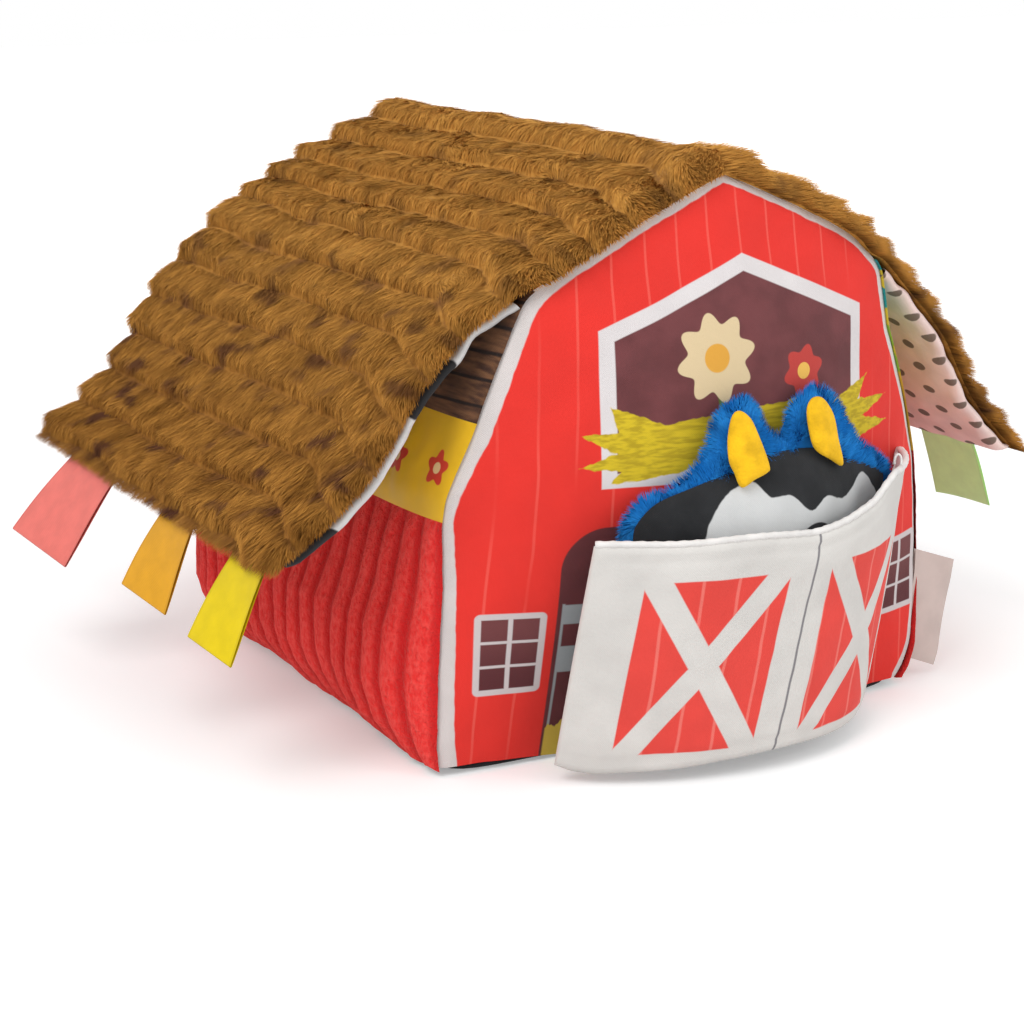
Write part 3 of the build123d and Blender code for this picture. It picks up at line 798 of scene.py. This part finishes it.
# The plush's last colour is painted light on the upper roof; the one before it goes into random blotches and
# painted shade in the grooves.
plush = fur_cloth(
    "brown_ribbed_plush", ((0.19, 0.076, 0.014), (0.31, 0.130, 0.024)),
    ((0.40, 0.170, 0.031), (0.64, 0.300, 0.058)), (0.115, 0.042, 0.024), (0.90, 0.46, 0.10),
)
ROOF_BLADES = 125000
for side, word in WORDS.items():
    skin = roof_skin(f"{word}_roof_skin", side)
    pile = roof_pile(f"{word}_roof_pile", side, ROOF_BLADES)
    plush.dress(skin, pile)
    roof = join([skin, pile], f"{word}_roof_plush")
    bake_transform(roof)
    nodes = [f"{word}_flap_plush", f"{word}_flap_wadding"]
    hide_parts(*(nodes + ["roof_crown_plush"] if side < 0 else nodes))


# ---- Flap linings: printed cloth, turned up over the flap's front edge ----
LINING_DEPTH = 235.0
# From here on the lining turns up along its back edge.
LINING_BACK = 232
# The stretch of the flap's arc that the lining covers.
LINING_START, LINING_END, LINING_SHARE = 0.05, 0.985, 0.935
# Across the lining from front to back: distance in from the edge, and height.
LINING_TURN = np.array(
    [(2.6, -1.7), (0.9, -1.5), (-0.3, -1.9), (-0.9, -2.8), (-0.6, -3.8), (0.5, -4.7), (2.4, -5.2)]
    + [(offset, -5.2) for offset in np.linspace(4.5, LINING_BACK, 70)]
    + [(234, -3.6), (235, -1.2), (234.8, 0.6)]
)


def flap_cloth(name, side):
    share, inward = grid_of(np.linspace(LINING_START, LINING_END, 60), LINING_TURN[:, 0])
    s = CROWN_LENGTH + share * FLAP_ARC
    edge = front_edge(s, side)
    past = np.maximum(inward, 0) / LINING_DEPTH
    lip = (1 - past) ** 20
    y = edge + np.minimum(inward, 0) + (ROOF_BACK + 1.2 - edge) * past
    y = y + 2.4 * ripple(at(s, 0, side), 13, 2.0) * lip
    wave = at(share * FLAP_ARC, y, 0)
    flat = clamp(inward / 12) * clamp((LINING_BACK - inward) / 10)
    height = LINING_TURN[:, 1] + (0.9 * ripple(wave, 24, 12.0 + side) - 0.5) * flat
    height = height + (0.5 + 0.9 * lip) * ripple(wave, 9, 4.0) - sag(s, y, side)
    height = height + 2.4 * smooth_step((share - 0.955) / 0.04)
    point = FLAP_CENTRE + flap_ray(share) * (FLAP_RADIUS + height)[..., None]
    obj = grid_object(name, mirrored(point, y, side), flip=side > 0)
    run = np.concatenate([[0], np.cumsum(np.hypot(*np.diff(LINING_TURN, axis=0).T))])
    set_uv(obj, "cloth", share * FLAP_ARC, run + 0 * share, MM)
    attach(obj, f"{WORDS[side]}_flap")
    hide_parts(f"{WORDS[side]}_flap_lining")
    return obj


BLACK_PRINT = (0.022, 0.022, 0.024)


def cow_patches(name, pale, scale=34.0, bare_front=False):
    """Cloth with black patches that have smooth edges, on a pale ground."""
    cloth = Cloth(name, 0.85, source="cloth")
    patch = cloth.noise(scale, 0.5) + (cloth.noise(scale * 0.5, 1.0) - 0.5) * 0.25
    patch = patch.step(0.535, 0.55)
    if bare_front:
        patch = patch * cloth.y.step(14, 22)
    cloth.colour(cloth.mix(patch, cloth.tinted(pale, 0.06), BLACK_PRINT))
    cloth.weave(cloth.x, cloth.y)
    return cloth


patched = cow_patches("cow_patch_lining", (0.70, 0.69, 0.68), bare_front=True)
for cx, cy, rx, ry in ((45, 3, 12, 9), (113, 5, 13, 12), (84, 16, 5, 5)):
    warp = patched.noise(12, 1) * 0.5 - 0.25
    patched.paint(patched.disc(cx, cy, rx, ry, along=patched.y) + warp, BLACK_PRINT, 0.04)
spotted = Cloth("spotted_lining", 0.85, source="cloth")
row = spotted.y / 15
spot_x = (spotted.x / 13 + row.math("FLOOR") * 0.5).part() * 13 - 6.5
spotted.colour(spotted.tinted((0.88, 0.68, 0.63), 0.07))
spotted.paint(spotted.disc(0, 0, 2.2, 3.4, spot_x, row.part() * 15 - 7.5), (0.20, 0.142, 0.112), 0.12)
spotted.weave(spotted.x, spotted.y)
for side, cloth in ((-1, patched), (1, spotted)):
    cloth.dress(flap_cloth(f"{WORDS[side]}_flap_cloth", side))


# ---- Ribbon tabs: folded satin loops under the hems ----
PIN = np.array([161.517, 84.593])


def ribbon(name, side, middle_y, width, length, curl, twist, sway, colour):
    """A tape that goes down, folds and comes back up."""
    angle = math.radians(-FLAP_DROOP - FLAP_HALF_ANGLE)
    along = np.array([math.cos(angle), math.sin(angle)])
    out = np.array([-along[1], along[0]])
    down = np.linspace(-1.5, length, 26)
    gap = 0.30 + 0.25 * np.sin(clamp(down / length) * np.pi)
    path = np.concatenate([at(down, gap), [(length + 0.45, 0.0)], at(down, -gap)[::-1]])
    d, w = grid_of(path[:, 0], np.linspace(-0.5, 0.5, 16))
    share = clamp(d / length)
    spread = w * width
    h = path[:, 1:] + curl * share**1.03 * length * 0.28
    h = h + 0.8 * np.sin(share * 2.6 + w * 2) * share * w * 2 - 2.6 * (1 - share)
    turn = math.radians(twist) * share
    y = middle_y + spread * np.cos(turn) - sway * share
    h = h + spread * np.sin(turn)
    point = PIN + along * d[..., None] + out * h[..., None]
    obj = grid_object(name, mirrored(point, y, side), flip=side > 0)
    run = np.cumsum(np.abs(np.diff(d, axis=0, prepend=d[:1])), 0)
    set_uv(obj, "cloth", spread, run, MM)
    tape = Cloth(f"{name}_satin", 0.4, 0.04, tuple(min(1, c * 1.3 + 0.1) for c in colour), "cloth")
    # Painted light: the right side's tapes glow faintly in their own colour, standing in for light that thin
    # satin lets through to its shaded face.
    tape.set(Specular_IOR_Level=0.2, Emission_Color=colour, Emission_Strength=0.24 if side > 0 else 0.0)
    edge = (tape.x.abs() - (width / 2 - 1.3)).step(0, 0.5)
    darker = tuple(c * 0.80 for c in colour)
    tape.colour(tape.mix(edge * 0.6, tape.tinted(colour, 0.06, 9), darker))
    rib = (tape.y * (2 * math.pi / 0.45)).sin() * 0.5 + 0.5
    tape.bump(rib * 0.6 + edge * 0.8, 0.07, 0.7)
    tape.roughness(5, 0.16, 0.34)
    tape.dress(obj)
    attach(obj, name.replace("_tape", "_tab"))
    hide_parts(name.replace("_tape", "_ribbon"))


# Each with its side, middle, width and length, then its curl, twist and sway, and its colour.
for tape in (
    ("left_coral_tape", -1, 70.0, 46.0, 38.7, -0.71, 9, -8.8, (0.77, 0.170, 0.140)),
    ("left_orange_tape", -1, -17.0, 27.0, 31.5, -0.62, 16, 10, (0.68, 0.325, 0.016)),
    ("left_yellow_tape", -1, -80.0, 25.0, 33.0, -0.56, 14, 10, (0.71, 0.53, 0.003)),
    ("right_green_tape", 1, -50.0, 32.0, 35.0, -1.05, -4, -8, (0.50, 0.72, 0.30)),
    ("right_blue_tape", 1, 12.0, 27.0, 33.0, -0.5, 8, 0, (0.045, 0.26, 0.66)),
    ("right_violet_tape", 1, 84.0, 27.0, 35.0, -0.6, -10, 0, (0.26, 0.13, 0.52)),
):
    ribbon(*tape)


# ---- Door flap: padded cloth with a printed face, a patched lining and a piped edge ----
DOOR_RADIUS = DOOR_INNER + 5
DOOR_LENGTH = math.radians(DOOR_ANGLES[1] - DOOR_ANGLES[0]) * DOOR_RADIUS


def seam_place(z):
    """The line on the front where the door is sewn down."""
    x = np.interp(z, (8, 60, 80, 92, 97), (75, 80, 81.5, 85, 87))
    return at(x, gable_y(x, z) - 1.0)


def door_place(run, z, height):
    """A point of the door at run along its face from the free end, at a height off its inner face."""
    z = z + 0 * run
    turned = 0.62 * DOOR_LENGTH
    lean = (DOOR_LEAN_OUT * np.clip(z / DOOR_HIGH, 0, 1.1) - DOOR_LEAN_IN)[..., None]
    angle = (np.minimum(run, turned) - 11.0 * (1 - z / DOOR_HIGH)) / DOOR_RADIUS
    angle = np.radians(DOOR_ANGLES[0]) + angle
    out = at(np.cos(angle), np.sin(angle))
    point = DOOR_CENTRE + out * (DOOR_INNER + lean)
    # Past the front the cloth bows round and comes back to the seam, on a Bezier curve.
    t = clamp((run - turned) / (DOOR_LENGTH - turned))[..., None]
    last = seam_place(z)
    first = point + at(-out[..., 1], out[..., 0]) * 24
    second = last - np.array([8.0, 20.0])
    ahead = (1 - t) ** 2 * (first - point) + 2 * t * (1 - t) * (second - first) + t**2 * (last - second)
    ahead = unit(3 * ahead)
    point = (1 - t) ** 3 * point + 3 * t * (1 - t) ** 2 * first + 3 * t**2 * (1 - t) * second + t**3 * last
    height = (height + 0 * run)[..., None] * (1 - 0.75 * smooth_step(t / 0.65))
    flat = point + at(ahead[..., 1], -ahead[..., 0]) * height
    return at(flat[..., 0], flat[..., 1], z)


def door_top(run):
    rise = 0.9 * np.sin(run / 21.0) + 0.5 * np.sin(run / 9.0 + 1) - 0.6
    return DOOR_HIGH + rise + np.interp(run, (0, 84, 101, 115, 122, 130, 173), (0, 0.4, 2.2, 4.8, 8.5, 11, 9))


def door_bottom(run):
    low = np.interp(run, (0, 6, 14, 36, 61, 173), (6.5, 4.5, 3.4, 5.0, 7.0, 8.0))
    return low + 0.4 * np.sin(run / 11.0)


rows = np.concatenate([[0.0, 0.006, 0.018], np.linspace(0.04, 0.965, 44), [0.985, 0.996, 1.0]])
runs = np.concatenate([[0.0, 0.005, 0.013], np.linspace(0.026, 0.974, 84), [0.987, 0.995, 1.0]])
up, along = grid_of(rows, runs)
start = 4.0 * up
run = start + (DOOR_LENGTH - start) * along
low, high = door_bottom(run), door_top(run)
z = low + up * (high - low)
edge = np.minimum(np.minimum(run - start, DOOR_LENGTH - run), np.minimum(z - low, high - z))
full = np.sqrt(clamp(edge / 3.2))
cloth_place = at(run, 0, z)
pucker = 0.9 * ripple(cloth_place * (1, 1, 0.7), 20, 4.0) + 0.35 * ripple(cloth_place, 7, 14.0)
pucker = pucker - 0.7 * clamp(1 - np.abs(edge - 4.5) / 2.5)
outer = door_place(run, z, 2.7 + (2.1 + pucker) * full)
inner = door_place(run, z, 2.3 - 2.2 * full + 0.3 * pucker * full)
ring = there_and_back(outer, inner)
door = grid_object("door_padded_flap", ring, closed=True)
set_uv(door, "cloth", there_and_back(run), there_and_back(z), MM)

doors = Cloth("door_print", 0.8, source="cloth")
u, v = doors.x, doors.y
faint = (((u + doors.noise(25, 1) * 2) / 12.5).part() - 0.5).abs() * 12.5
red = doors.tinted((0.76, 0.062, 0.048), 0.05, 20)
red = doors.mix((1 - faint.step(0.3, 0.8)) * 0.35, red, (0.95, 0.36, 0.30))
# Each of the two printed doors has a red panel behind a pale cross.
half_x, half_z = 29, 20.75
across = (u - v * 0.045 - 81.0).abs() - 35.5
up = v - 43
panel = (across.abs() - 26).upper(up.abs() - 31)
diagonal = math.hypot(half_x, half_z)
brace = (across.abs() * (half_x / diagonal) - up.abs() * (half_z / diagonal)).abs() - 4.5
middle = (u - v * 0.045 - 82.5 + doors.noise(40, 1)).abs() - 0.5
doors.colour(doors.tinted((0.66, 0.64, 0.61), 0.05, 25))
doors.paint(panel.upper(-brace), red)
doors.paint(middle, (0.22, 0.21, 0.22), 0.25)
doors.weave(u, v)
doors.dress(door)
cow_patches("door_patch_lining", (0.70, 0.70, 0.70), 26.0).dress(door)
for index, polygon in enumerate(door.data.polygons):
    if index % ring.shape[1] >= len(runs) - 1:
        polygon.material_index = 1
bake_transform(door)
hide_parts("door_face", "door_wadding", "door_lining")


def tube(name, path, radius, sides=10):
    """A round tube along points, with its section carried along without twist."""
    count = len(path)
    ahead = np.roll(path, -1, 0) - np.roll(path, 1, 0)
    ahead[0], ahead[-1] = path[1] - path[0], path[-1] - path[-2]
    ahead = unit(ahead)
    side = np.cross(ahead[0], (0.3, 0.2, 1.0))
    turn = np.linspace(0, 2 * np.pi, sides, endpoint=False)[:, None]
    rings = []
    for place, forward, r in zip(path, ahead, radius + np.zeros(count)):
        side = side - forward * (side @ forward)
        side /= np.linalg.norm(side)
        rings.append(place + r * (np.cos(turn) * side + np.sin(turn) * np.cross(forward, side)))
    faces = grid_faces(count, sides, closed=True)
    faces += [tuple(range(sides))[::-1], tuple(range((count - 1) * sides, count * sides))]
    return make_object(name, np.array(rings), faces)


top_runs = np.linspace(4.4, DOOR_LENGTH - 0.4, 120)
top_path = door_place(top_runs, door_top(top_runs) + 0.5, 2.6)
side_z = np.linspace(door_top(DOOR_LENGTH) + 0.3, DOOR_LOW + 1, 50)
side_path = door_place(np.full(50, DOOR_LENGTH + 0.4), side_z, 2.6)
path = np.concatenate([top_path, side_path[1:]])
piping = tube("door_edge_piping", path, 1.2 + 0.12 * np.sin(np.arange(len(path)) * 1.9))
white = Cloth("white_piping_cloth", 0.8)
white.colour(white.tinted((0.76, 0.74, 0.72), 0.06, 5))
white.bump(white.noise(0.8, 3), 0.3, 0.8)
white.roughness(3, 0.2, 0.7)
white.dress(piping)
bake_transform(piping)
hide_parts("door_piping")

turn = np.linspace(-0.6, 1.2 * np.pi, 26)
knot = top_path[-28] + np.array([0, 0, 1.0])
loop_path = knot + at(1.4 * np.cos(turn) + 0.3 * turn, 0.5 * turn, 2.4 + 2.4 * np.sin(turn))
loop = tube("door_thread", loop_path, 0.4, 8)
white.dress(loop)
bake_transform(loop)
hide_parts("door_thread_loop")

seam_z = np.linspace(DOOR_LOW + 0.5, DOOR_HIGH + 5, 60)
seam_columns = []
for offset, lift in ((-4.2, -0.2), (-3.8, 0.9), (-1.5, 1.3), (1.5, 1.3), (3.8, 0.9), (4.2, -0.2)):
    seam_x = seam_place(seam_z)[:, 0] + 1.0 + offset
    stand = lift * (1 + 0.25 * np.sin(seam_z * 1.6))
    seam_columns.append(at(seam_x, gable_y(seam_x, seam_z) - stand, seam_z))
seam = grid_object("door_seam_tape", np.stack(seam_columns, 1))
red_tape = Cloth("red_seam_tape", 0.8)
stitch = ((red_tape.z / 3.2).part() - 0.5).abs().step(0.12, 0.2)
dyed = red_tape.tinted((0.78, 0.045, 0.034), 0.06, 10)
red_tape.colour(red_tape.mix(stitch, (0.62, 0.05, 0.04), dyed))
red_tape.weave(red_tape.x, red_tape.z)
red_tape.dress(seam)
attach(seam, "barn_body")
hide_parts("door_seam")


# ---- Cow: a stuffed head with a furry back and felt horns ----
def closed_curve(points, count):
    """A smooth closed curve through points, evenly sampled."""
    points = np.asarray(points, float)
    n = len(points)
    t = np.linspace(0, n, count, endpoint=False)
    i = t.astype(int)
    f = (t - i)[:, None]
    p0, p1, p2, p3 = (points[(i + k) % n] for k in (-1, 0, 1, 2))
    bend = (2 * p0 - 5 * p1 + 4 * p2 - p3) * f**2 + (3 * p1 - p0 - 3 * p2 + p3) * f**3
    return 0.5 * (2 * p1 + (p2 - p0) * f + bend)


def curve_outward(curve):
    """Outward normals of a closed curve that runs clockwise."""
    tangent = unit(np.roll(curve, -3, 0) - np.roll(curve, 3, 0))
    return at(-tangent[:, 1], tangent[:, 0])


# Outlines in x and z.
FACE_OUTLINE = [
    (-44, 60), (-44.5, 74), (-44.5, 85.7), (-43.3, 91.2), (-37, 97.9), (-25.5, 102.3), (-11, 106.7),
    (0, 110), (7.5, 111.4), (24.7, 110.5), (43, 103.6), (52, 101), (59.5, 97.8), (67.5, 94.4), (73.5, 91),
    (72, 83), (60, 62), (49, 40), (38, 20), (22, 8), (0, 6), (-24, 8), (-38, 22), (-43, 42),
]
FUR_OUTLINE = [
    (-44, 62), (-47, 74), (-48, 84.6), (-46, 93), (-41, 98.8), (-33, 102), (-23.5, 107.5), (-18, 114.5),
    (-15.2, 123), (-9.8, 128.7), (-1.8, 131.4), (3.5, 126.3), (8.5, 119), (14.5, 117.5), (17.4, 125.3),
    (25.5, 130.5), (34.5, 129.6), (43.4, 122.8), (47.5, 115.5), (56.5, 106.8), (65.5, 101.4), (73.5, 97),
    (78, 92), (77, 84), (72, 76), (60, 58), (47, 40), (34, 22), (20, 13), (0, 11), (-22, 13), (-36, 24),
    (-42, 42),
]
BLAZE = [
    (-23.9, 86.1), (-20.7, 94), (-14.1, 100.8), (-5.1, 103.5), (1, 97.9), (9.4, 97.5), (18.4, 90.9),
    (26.3, 94.8), (36.2, 91.9), (44, 94.6), (47.5, 96.2), (51, 97.2), (55, 95.8), (59.5, 91.5), (64, 84),
    (57, 68), (38, 52), (8, 46), (-14, 52), (-24, 70),
]
HORNS = {
    "cow_left_horn": [
        (-11, 127.8), (-6, 126), (-3, 119.7), (0.5, 109), (-0.6, 106.6), (-5.6, 104.8), (-10.6, 102.6),
        (-12.9, 107.5), (-14.6, 112), (-14.2, 120.1),
    ],
    "cow_right_horn": [
        (21.5, 129), (27, 128), (32, 122.2), (34, 113.1), (36.1, 103.5), (28.5, 107), (21.2, 111.5),
        (19, 117.8), (18.8, 125),
    ],
}


def polygon_distance(points, corners):
    """Signed distance to a polygon's edge, below 0 inside."""
    start, finish = corners, np.roll(corners, -1, 0)
    step = finish - start
    away = points[..., None, :] - start
    share = clamp((away * step).sum(-1) / (step**2).sum(-1))
    gap = np.linalg.norm(away - share[..., None] * step, axis=-1).min(-1)
    x, z = points[..., 0:1], points[..., 1:2]
    crosses = (start[:, 1] > z) != (finish[:, 1] > z)
    reach = start[:, 0] + (z - start[:, 1]) * step[:, 0] / np.where(step[:, 1] == 0, 1e-9, step[:, 1])
    within = (crosses & (x < reach)).sum(-1) % 2 == 1
    return np.where(within, -gap, gap)


def cow_front(x, z):
    """y of the head's front, which leans on the inside of the door."""
    radius = DOOR_INNER - 3.4 - DOOR_LEAN_IN + DOOR_LEAN_OUT * clamp(z / DOOR_HIGH)
    front_y = DOOR_CENTRE[1] - np.sqrt(np.maximum(radius**2 - (x - DOOR_CENTRE[0]) ** 2, 0))
    front_y += 3.5 * clamp((x - 25) / 30)
    return front_y + 5.0 * clamp((z - 92) / 34) ** 1.5


def cow_back(x, z):
    """y of the head's back, just off the front gable."""
    return -(np.sqrt(GABLE_RADIUS**2 - x**2) - GABLE_CENTRE_Y) - 0.7 + 0 * z


def between(share):
    """A surface at a share of the way from the head's back to its front."""
    return lambda x, z: cow_back(x, z) + (cow_front(x, z) - cow_back(x, z)) * share


fur_front = between(0.62)
# The seam of a stuffed form lies at this share of the way from its back to its front.
SEAM_SHARE = 0.45


def pillow(name, outline, centre, front, back, rings=26, power=4.0, seed=0.0, rough=0.6):
    """A closed stuffed form inside an outline in x, z, between a front and a back surface in y."""
    rho = np.sin(np.linspace(0.0005, 1, rings) * np.pi / 2)
    r = np.concatenate([rho, rho[-2::-1]])[:, None]
    flat = centre + (outline - centre) * r[..., None]
    x, z = flat[..., 0], flat[..., 1]
    fullness = (1 - r**power) ** 0.5
    y_front, y_back = front(x, z), back(x, z)
    middle = y_back + (y_front - y_back) * SEAM_SHARE
    face = np.arange(len(r))[:, None] < rings
    y = middle + (np.where(face, y_front, y_back) - middle) * fullness
    points = at(x, y, z)
    points[..., 1] -= rough * ripple(points, 15, seed) * clamp((1 - r) * 5) * face
    return grid_object(name, points, closed=True), points


HEAD_MIDDLE = np.array([2.0, 66.0])
FUR_LENGTH, FUR_POWER = 3.2, 8
FUR_BLADES = 26000
fur_tips = closed_curve(FUR_OUTLINE, 300)
fur_outline = fur_tips - curve_outward(fur_tips) * 2.8
fur_back, fur_points = pillow(
    "cow_fur_back", fur_outline, HEAD_MIDDLE, fur_front, cow_back, power=FUR_POWER, seed=2.0
)
face_outline = closed_curve(FACE_OUTLINE, 240)
face, face_points = pillow(
    "cow_padded_face", face_outline, HEAD_MIDDLE, cow_front, between(0.3), rings=40, power=3.4, seed=6.0
)


def cow_fur(name, count):
    k = RNG.integers(0, len(fur_outline), count)
    rho = 0.78 + 0.235 * RNG.random(count) ** 0.7
    step = np.roll(fur_outline, -1, 0)[k] - fur_outline[k]
    edge_point = fur_outline[k] + RNG.random(count)[:, None] * step
    outward = curve_outward(fur_outline)[k]
    r = np.minimum(rho, 1.0)
    flat = HEAD_MIDDLE + (edge_point - HEAD_MIDDLE) * r[:, None]
    x, z = flat.T
    full = (1 - r**FUR_POWER) ** 0.5
    middle = cow_back(x, z) + (fur_front(x, z) - cow_back(x, z)) * SEAM_SHARE
    y = middle + (fur_front(x, z) - middle) * full * np.where(rho > 1.0, -0.6, 1)
    root = at(x, y, z)
    out = at(outward[:, 0], 0, outward[:, 1])
    rim = clamp((r - 0.9) * 10)[:, None]
    face_out = unit(out * (0.25 + rim * 0.8) + np.array([0, -1.0, 0]) * (1.05 - 0.75 * rim))
    swirl = at(ripple(root, 7, 3.0), 0, ripple(root, 7, 15.0))
    lean = out * (0.5 + 0.6 * rim) + swirl * 1.1 + face_out * 0.5
    lean = unit(lean + RNG.normal(0, 0.16, (count, 3)))
    length = FUR_LENGTH + 1.4 * RNG.random(count) + 0.9 * ripple(root, 5, 30.0)
    shading = unit(face_out * 0.9 + lean * 0.35 + RNG.normal(0, 0.1, (count, 3)))
    rib = 0.55 + 0.45 * np.clip(ripple(root, 5, 60.0) * 2, -1, 1)
    width = 0.40 + 0.2 * RNG.random(count)
    # No blade stands on the printed face.
    clear = polygon_distance(flat, face_outline) > -2.0
    parts = (part[clear] for part in (root, lean, shading, length, width, flat, rib))
    return blades_object(name, *parts)


blue = fur_cloth(
    "blue_fur", ((0.002, 0.045, 0.20), (0.006, 0.09, 0.36)), ((0.010, 0.20, 0.66), (0.035, 0.36, 0.92)),
    (0.002, 0.035, 0.18),
)
set_uv(fur_back, "cloth", fur_points[..., 0], fur_points[..., 2], MM)
set_uv(fur_back, "lie", 0.3, 0.3)
set_uv(fur_back, "rib", 0.5, 0.5)
fur = cow_fur("cow_fur_pile", FUR_BLADES)
blue.dress(fur_back, fur)
fur_back = join([fur_back, fur], "cow_fur_back")
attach(fur_back, "cow")
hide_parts("cow_back_plush")

# The print takes the distance to the white blaze's edge from a UV map.
set_uv(face, "mark", polygon_distance(face_points[..., [0, 2]].reshape(-1, 2), closed_curve(BLAZE, 120)))
hide = Cloth("cow_face_print", 0.75)
hide.set(Specular_IOR_Level=0.15)
cx, cz = hide.x, hide.z
hide.colour(hide.tinted((0.020, 0.021, 0.023), 0.2, 12))
hide.paint(hide.pair("mark")[0] + hide.noise(5) - 0.5, hide.tinted((0.61, 0.62, 0.62), 0.05, 18))
for ex, ez, radius in ((-1, 76.5, 8.5), (21, 76.0, 9.5)):
    reach = ((cx - ex).power(2) + (cz - ez).power(2)).power(0.5)
    hide.paint(((reach - radius).abs() - 0.9).upper(ez + 1 - cz), (0.03, 0.03, 0.033), 0.25)
hide.paint(hide.disc(8, 36, 34, 21), hide.tinted((0.80, 0.40, 0.36), 0.06, 14), 0.01)
for nx in (-4, 20):
    hide.paint(hide.disc(nx, 42, 3.6, 2.6), (0.30, 0.09, 0.08), 0.08)
smile = ((cz - 27 - (cx - 8).power(2) * 0.012).abs() - 0.7).upper((cx - 8).abs() - 15)
hide.paint(smile, (0.30, 0.09, 0.08), 0.2)
hide.weave(cx, cz)
hide.dress(face)
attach(face, "cow")
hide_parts("cow_face", "cow_filling")

felt = Cloth("yellow_felt", 0.95, 0.1, (1.0, 0.8, 0.3))
felt.colour(felt.tinted((0.84, 0.48, 0.010), 0.16, 7))
felt.bump(felt.noise(0.9, 4) * 0.7 + felt.noise(3.5) * 0.5, 0.6, 0.9)
felt.roughness(4, 0.1, 0.88)
for node, outline in HORNS.items():
    curve = closed_curve(outline, 48)
    horn, _ = pillow(
        node.replace("horn", "felt_horn"), curve, curve.mean(0), lambda x, z: cow_front(x, z) - 1.8,
        lambda x, z: cow_front(x, z) + 3.5, rings=10, power=2.2, seed=11.0, rough=0.3,
    )
    felt.dress(horn)
    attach(horn, "cow")
    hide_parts(node)


# ---- Side label: a bare folded tape in the front right seam ----
out = np.concatenate([np.linspace(0, 18, 12), [18.5], np.linspace(18, 0, 12)])
layer = np.repeat((-0.5, 0.0, 0.5), (12, 1, 12))
height, out = grid_of(np.linspace(10.0, 52, 24), out)
label_x = outline_x(height, 1) - 1.0 + out * (0.86 + 0.003 * height)
bend = 1.4 * np.sin((height - 7) / 44 * np.pi) * (out / 18) ** 2
label = grid_object("side_label_tape", at(label_x, -95.0 + layer - 0.05 * out + bend, height - 0.36 * out))
tape = Cloth("bare_label_tape", 0.5)
tape.colour(tape.tinted((0.62, 0.50, 0.46), 0.06, 12))
tape.bump((tape.z * (2 * math.pi / 0.5)).sin() * 0.5 + 0.5, 0.05, 0.6)
tape.roughness(6, 0.15, 0.42)
tape.dress(label)
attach(label, "barn_body")
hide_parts("side_label")


# ---- Floor, light and camera ----
def seen_by_camera(tree, low, high):
    """One strength for camera rays, high, and another for every other ray."""
    return new_field(tree, "LightPath", out="Is Camera Ray") * (high - low) + low


bpy.ops.mesh.primitive_plane_add(size=8)
floor = bpy.context.active_object
floor.name = "studio_floor"
paper = bpy.data.materials.new("studio_floor_paper")
paper.use_nodes = True
tree = paper.node_tree
place = new_field(tree, "NewGeometry", out="Position")
away = new_field(tree, "VectorMath", {0: place}, out="Value", operation="LENGTH")
for name, value in {
    "Base Color": (0.80, 0.80, 0.80), "Roughness": 0.9, "Emission Color": (1, 1, 1),
    "Emission Strength": seen_by_camera(tree, 0.0, 1.0) * (away.step(0.25, 1.6) * 0.6 + 0.3),
}.items():
    plug(tree, tree.nodes["Principled BSDF"].inputs[name], value)
floor.data.materials.append(paper)

scene = bpy.context.scene
world = bpy.data.worlds.new("studio")
scene.world = world
world.use_nodes = True
background = world.node_tree.nodes["Background"]
plug(world.node_tree, background.inputs["Color"], (1, 1, 1))
plug(world.node_tree, background.inputs["Strength"], seen_by_camera(world.node_tree, 0.75, 1.0))

for name, place, target, size, power in (
    ("key", (-1.2, -0.75, 1.5), (0, 0, 0.08), 1.0, 17),
    ("fill", (1.1, -1.3, 0.9), (0, 0, 0.1), 1.2, 7.5),
):
    lamp = add_object(name, bpy.data.lights.new(name, "AREA"))
    lamp.data.shape = "DISK"
    lamp.data.size = size
    lamp.data.energy = power
    lamp.location = place
    lamp.rotation_euler = (Vector(target) - Vector(place)).to_track_quat("-Z", "Y").to_euler()

# The lens and the place were fitted to the photograph.
camera = add_object("camera", bpy.data.cameras.new("camera"))
camera.data.sensor_width = 36.0
camera.data.lens = 80.4
camera.data.clip_start = 0.02
camera.location = (-0.4424, -0.7538, 0.2910)
camera.rotation_euler = (math.radians(90 - 14.88), 0, math.radians(-29.53))
scene.camera = camera
scene.view_settings.view_transform = "Standard"
